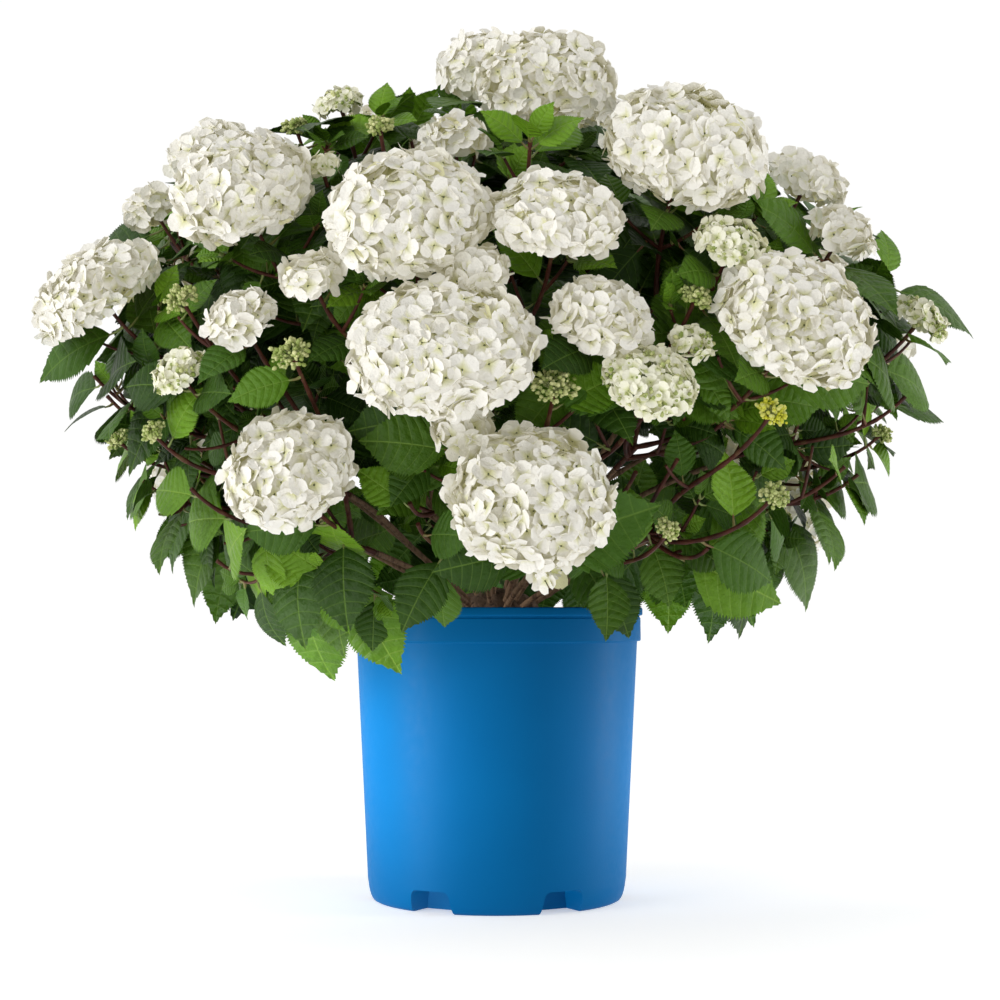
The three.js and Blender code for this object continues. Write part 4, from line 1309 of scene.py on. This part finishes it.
def on_head(shoot, count, inset, lowest, stream):
    """Points and outward normals spread evenly, inset in mm from a head's outline, down to a lowest
    height of -1 to 1."""
    tilt = turn_to(shoot.axis)
    reach = max(shoot.radius - inset, 0.35 * shoot.radius)
    places = []
    for i in range(count):
        height = 1 - (1 - lowest) * (i + 0.5) / count
        ring = math.sqrt(1 - height ** 2)
        direction = np.array([ring * math.cos(i * golden_turn), ring * math.sin(i * golden_turn), height])
        flat = shoot.over if height > 0 else shoot.under
        jitter = np.array([next(stream), next(stream), next(stream)]) - 0.5
        point = direction * (1, 1, flat) * reach
        normal = unit(direction / (1, 1, flat) + 1.15 * jitter)
        places.append([shoot.middle + tilt @ point, tilt @ normal])
    return places


def pulled_in(point, shoot, owner):
    for _ in range(12):
        if in_own_space(point[None], owner)[0]:
            break
        point = point + (shoot.middle - point) * 0.08
    return point


blooms = {"white_right": [], "white_left": [], "white_back": [], "cream": [], "opening": []}
bead_places, thin_lines = [], []


def thin_stalk(shoot, end, normal):
    """A floret's stalk, from the top of the shoot up into the head and out to the floret."""
    rise = shoot.foot + (shoot.middle - shoot.foot) * 0.5
    thin_lines.append(([shoot.foot, rise + (end - rise) * 0.35, end - normal * 1.5], [0.9, 0.6, 0.45]))


def put_florets(shoot, owner, kind, count, inset, lowest, size, stream):
    if kind == "white":
        side = "left" if shoot.middle[0] < 0 else "right"
        kind = "white_" + (side if owner < len(front_masses) else "back")
    for i, (point, normal) in enumerate(on_head(shoot, count, inset, lowest, stream)):
        point = pulled_in(point + (point - shoot.middle) * 0.12 * (next(stream) - 0.6), shoot, owner)
        reach = size * (0.8 + 0.35 * next(stream))
        turn = spun_about(normal, 2 * math.pi * next(stream))
        blooms[kind].append((point, turn, (reach,) * 3, int(6 * next(stream)), next(stream)))
        if kind != "cream" and i % 3 == 0:
            thin_stalk(shoot, point, normal)


def put_beads(shoot, clumps, size, stream, yellow=False):
    """Buds in little clumps, each clump on a stalk of its own."""
    for middle, normal in on_head(shoot, clumps, 3, -0.45, stream):
        middle = middle - normal * 4 * next(stream)
        thin_stalk(shoot, middle, normal)
        for _ in range(9):
            offset = (np.array([next(stream), next(stream), next(stream)]) - 0.5) * 8.5
            point = middle + offset - normal * (offset @ normal) * 0.6
            reach = size * (0.7 + 0.6 * next(stream))
            turn = spun_about(unit(normal + 0.12 * offset), 2 * math.pi * next(stream))
            tint = (0.86 if yellow else 0.0) + (0.14 if yellow else 0.8) * next(stream)
            bead_places.append((point, turn, (reach, reach, reach * 1.3), 0, tint))


# For each kind of head, its layers of florets: colour, share of a whole ball, area of a floret in
# square mm, fewest florets, inset, lowest height, and size.
floret_layers = {
    "ball": [("white", 1, 150, 0, 7, -0.86, 10.8), ("cream", 1, 520, 0, 16, -0.6, 12)],
    "dome": [("white", 0.72, 140, 0, 7, -0.45, 10.5), ("cream", 0.7, 480, 0, 16, -0.4, 11.5)],
    "open": [("opening", 0.7, 95, 16, 4, -0.35, 6.6)],
}
yellow_cluster = next(mass for mass in masses if mass.name == "right_low").shoots[0]
for number, mass in enumerate(masses):
    stream = number_stream(700 + number)
    for shoot in mass.shoots:
        spread = 4 * math.pi * (shoot.radius - 4) ** 2
        for kind, share, area, fewest, inset, lowest, size in floret_layers.get(shoot.kind, ()):
            count = max(fewest, int(share * spread / area))
            put_florets(shoot, number, kind, count, inset, lowest, size, stream)
        if shoot.kind == "open":
            put_beads(shoot, int(spread / 230), 2.8, stream)
        elif shoot.kind == "buds":
            put_beads(shoot, 17, 2.6, stream, shoot is yellow_cluster)

white = petal_finish("white_sepal", (0.61, 0.61, 0.29), (0.85, 0.83, 0.785), (0.07, 0.09, 0.035))
petals = {
    "white_right": white,
    "white_left": white,
    "white_back": white,
    "cream": petal_finish("cream_sepal", (0.50, 0.52, 0.16), (0.72, 0.70, 0.44), (0.25, 0.30, 0.06)),
    "opening": petal_finish("opening_sepal", (0.50, 0.54, 0.20), (0.84, 0.83, 0.69), (0.22, 0.28, 0.08)),
}
for kind, places in blooms.items():
    dress_foliage(strewn("florets_" + kind, floret_shapes(), places, petals[kind]), "blossom")

# ---- The bud clusters ----------------------------------------------------------------------------
# Heads that have yet to open are tight domes of round buds, pale green with cream shoulders, each on
# a thread of a stalk.


def bud_finish(name, dark, light, yellow):
    finish, tree, shader = new_finish(name, 0.5, 0.4)
    buds = ramp(tree, mark_of(tree, "tint"), [(0.1, dark), (0.8, light), (0.95, yellow)])
    tree.links.new(buds, shader.inputs["Base Color"])
    relief(tree, shader, mottle(tree, 900, 2), 0.0003)
    return finish


pale_bud = bud_finish("pale_bud", (0.26, 0.34, 0.07), (0.66, 0.67, 0.32), (0.56, 0.56, 0.03))
dress_foliage(strewn("buds", [pebble("a")], bead_places, pale_bud), "bud")
thread = mottled_finish("thin_stalk", 0.5, 0.4, (90, 3), [
    (0.35, (0.28, 0.34, 0.09)), (0.65, (0.42, 0.47, 0.20))])
dress_foliage(drawn("floret_stalks", thin_lines, thread, 3), "bud")
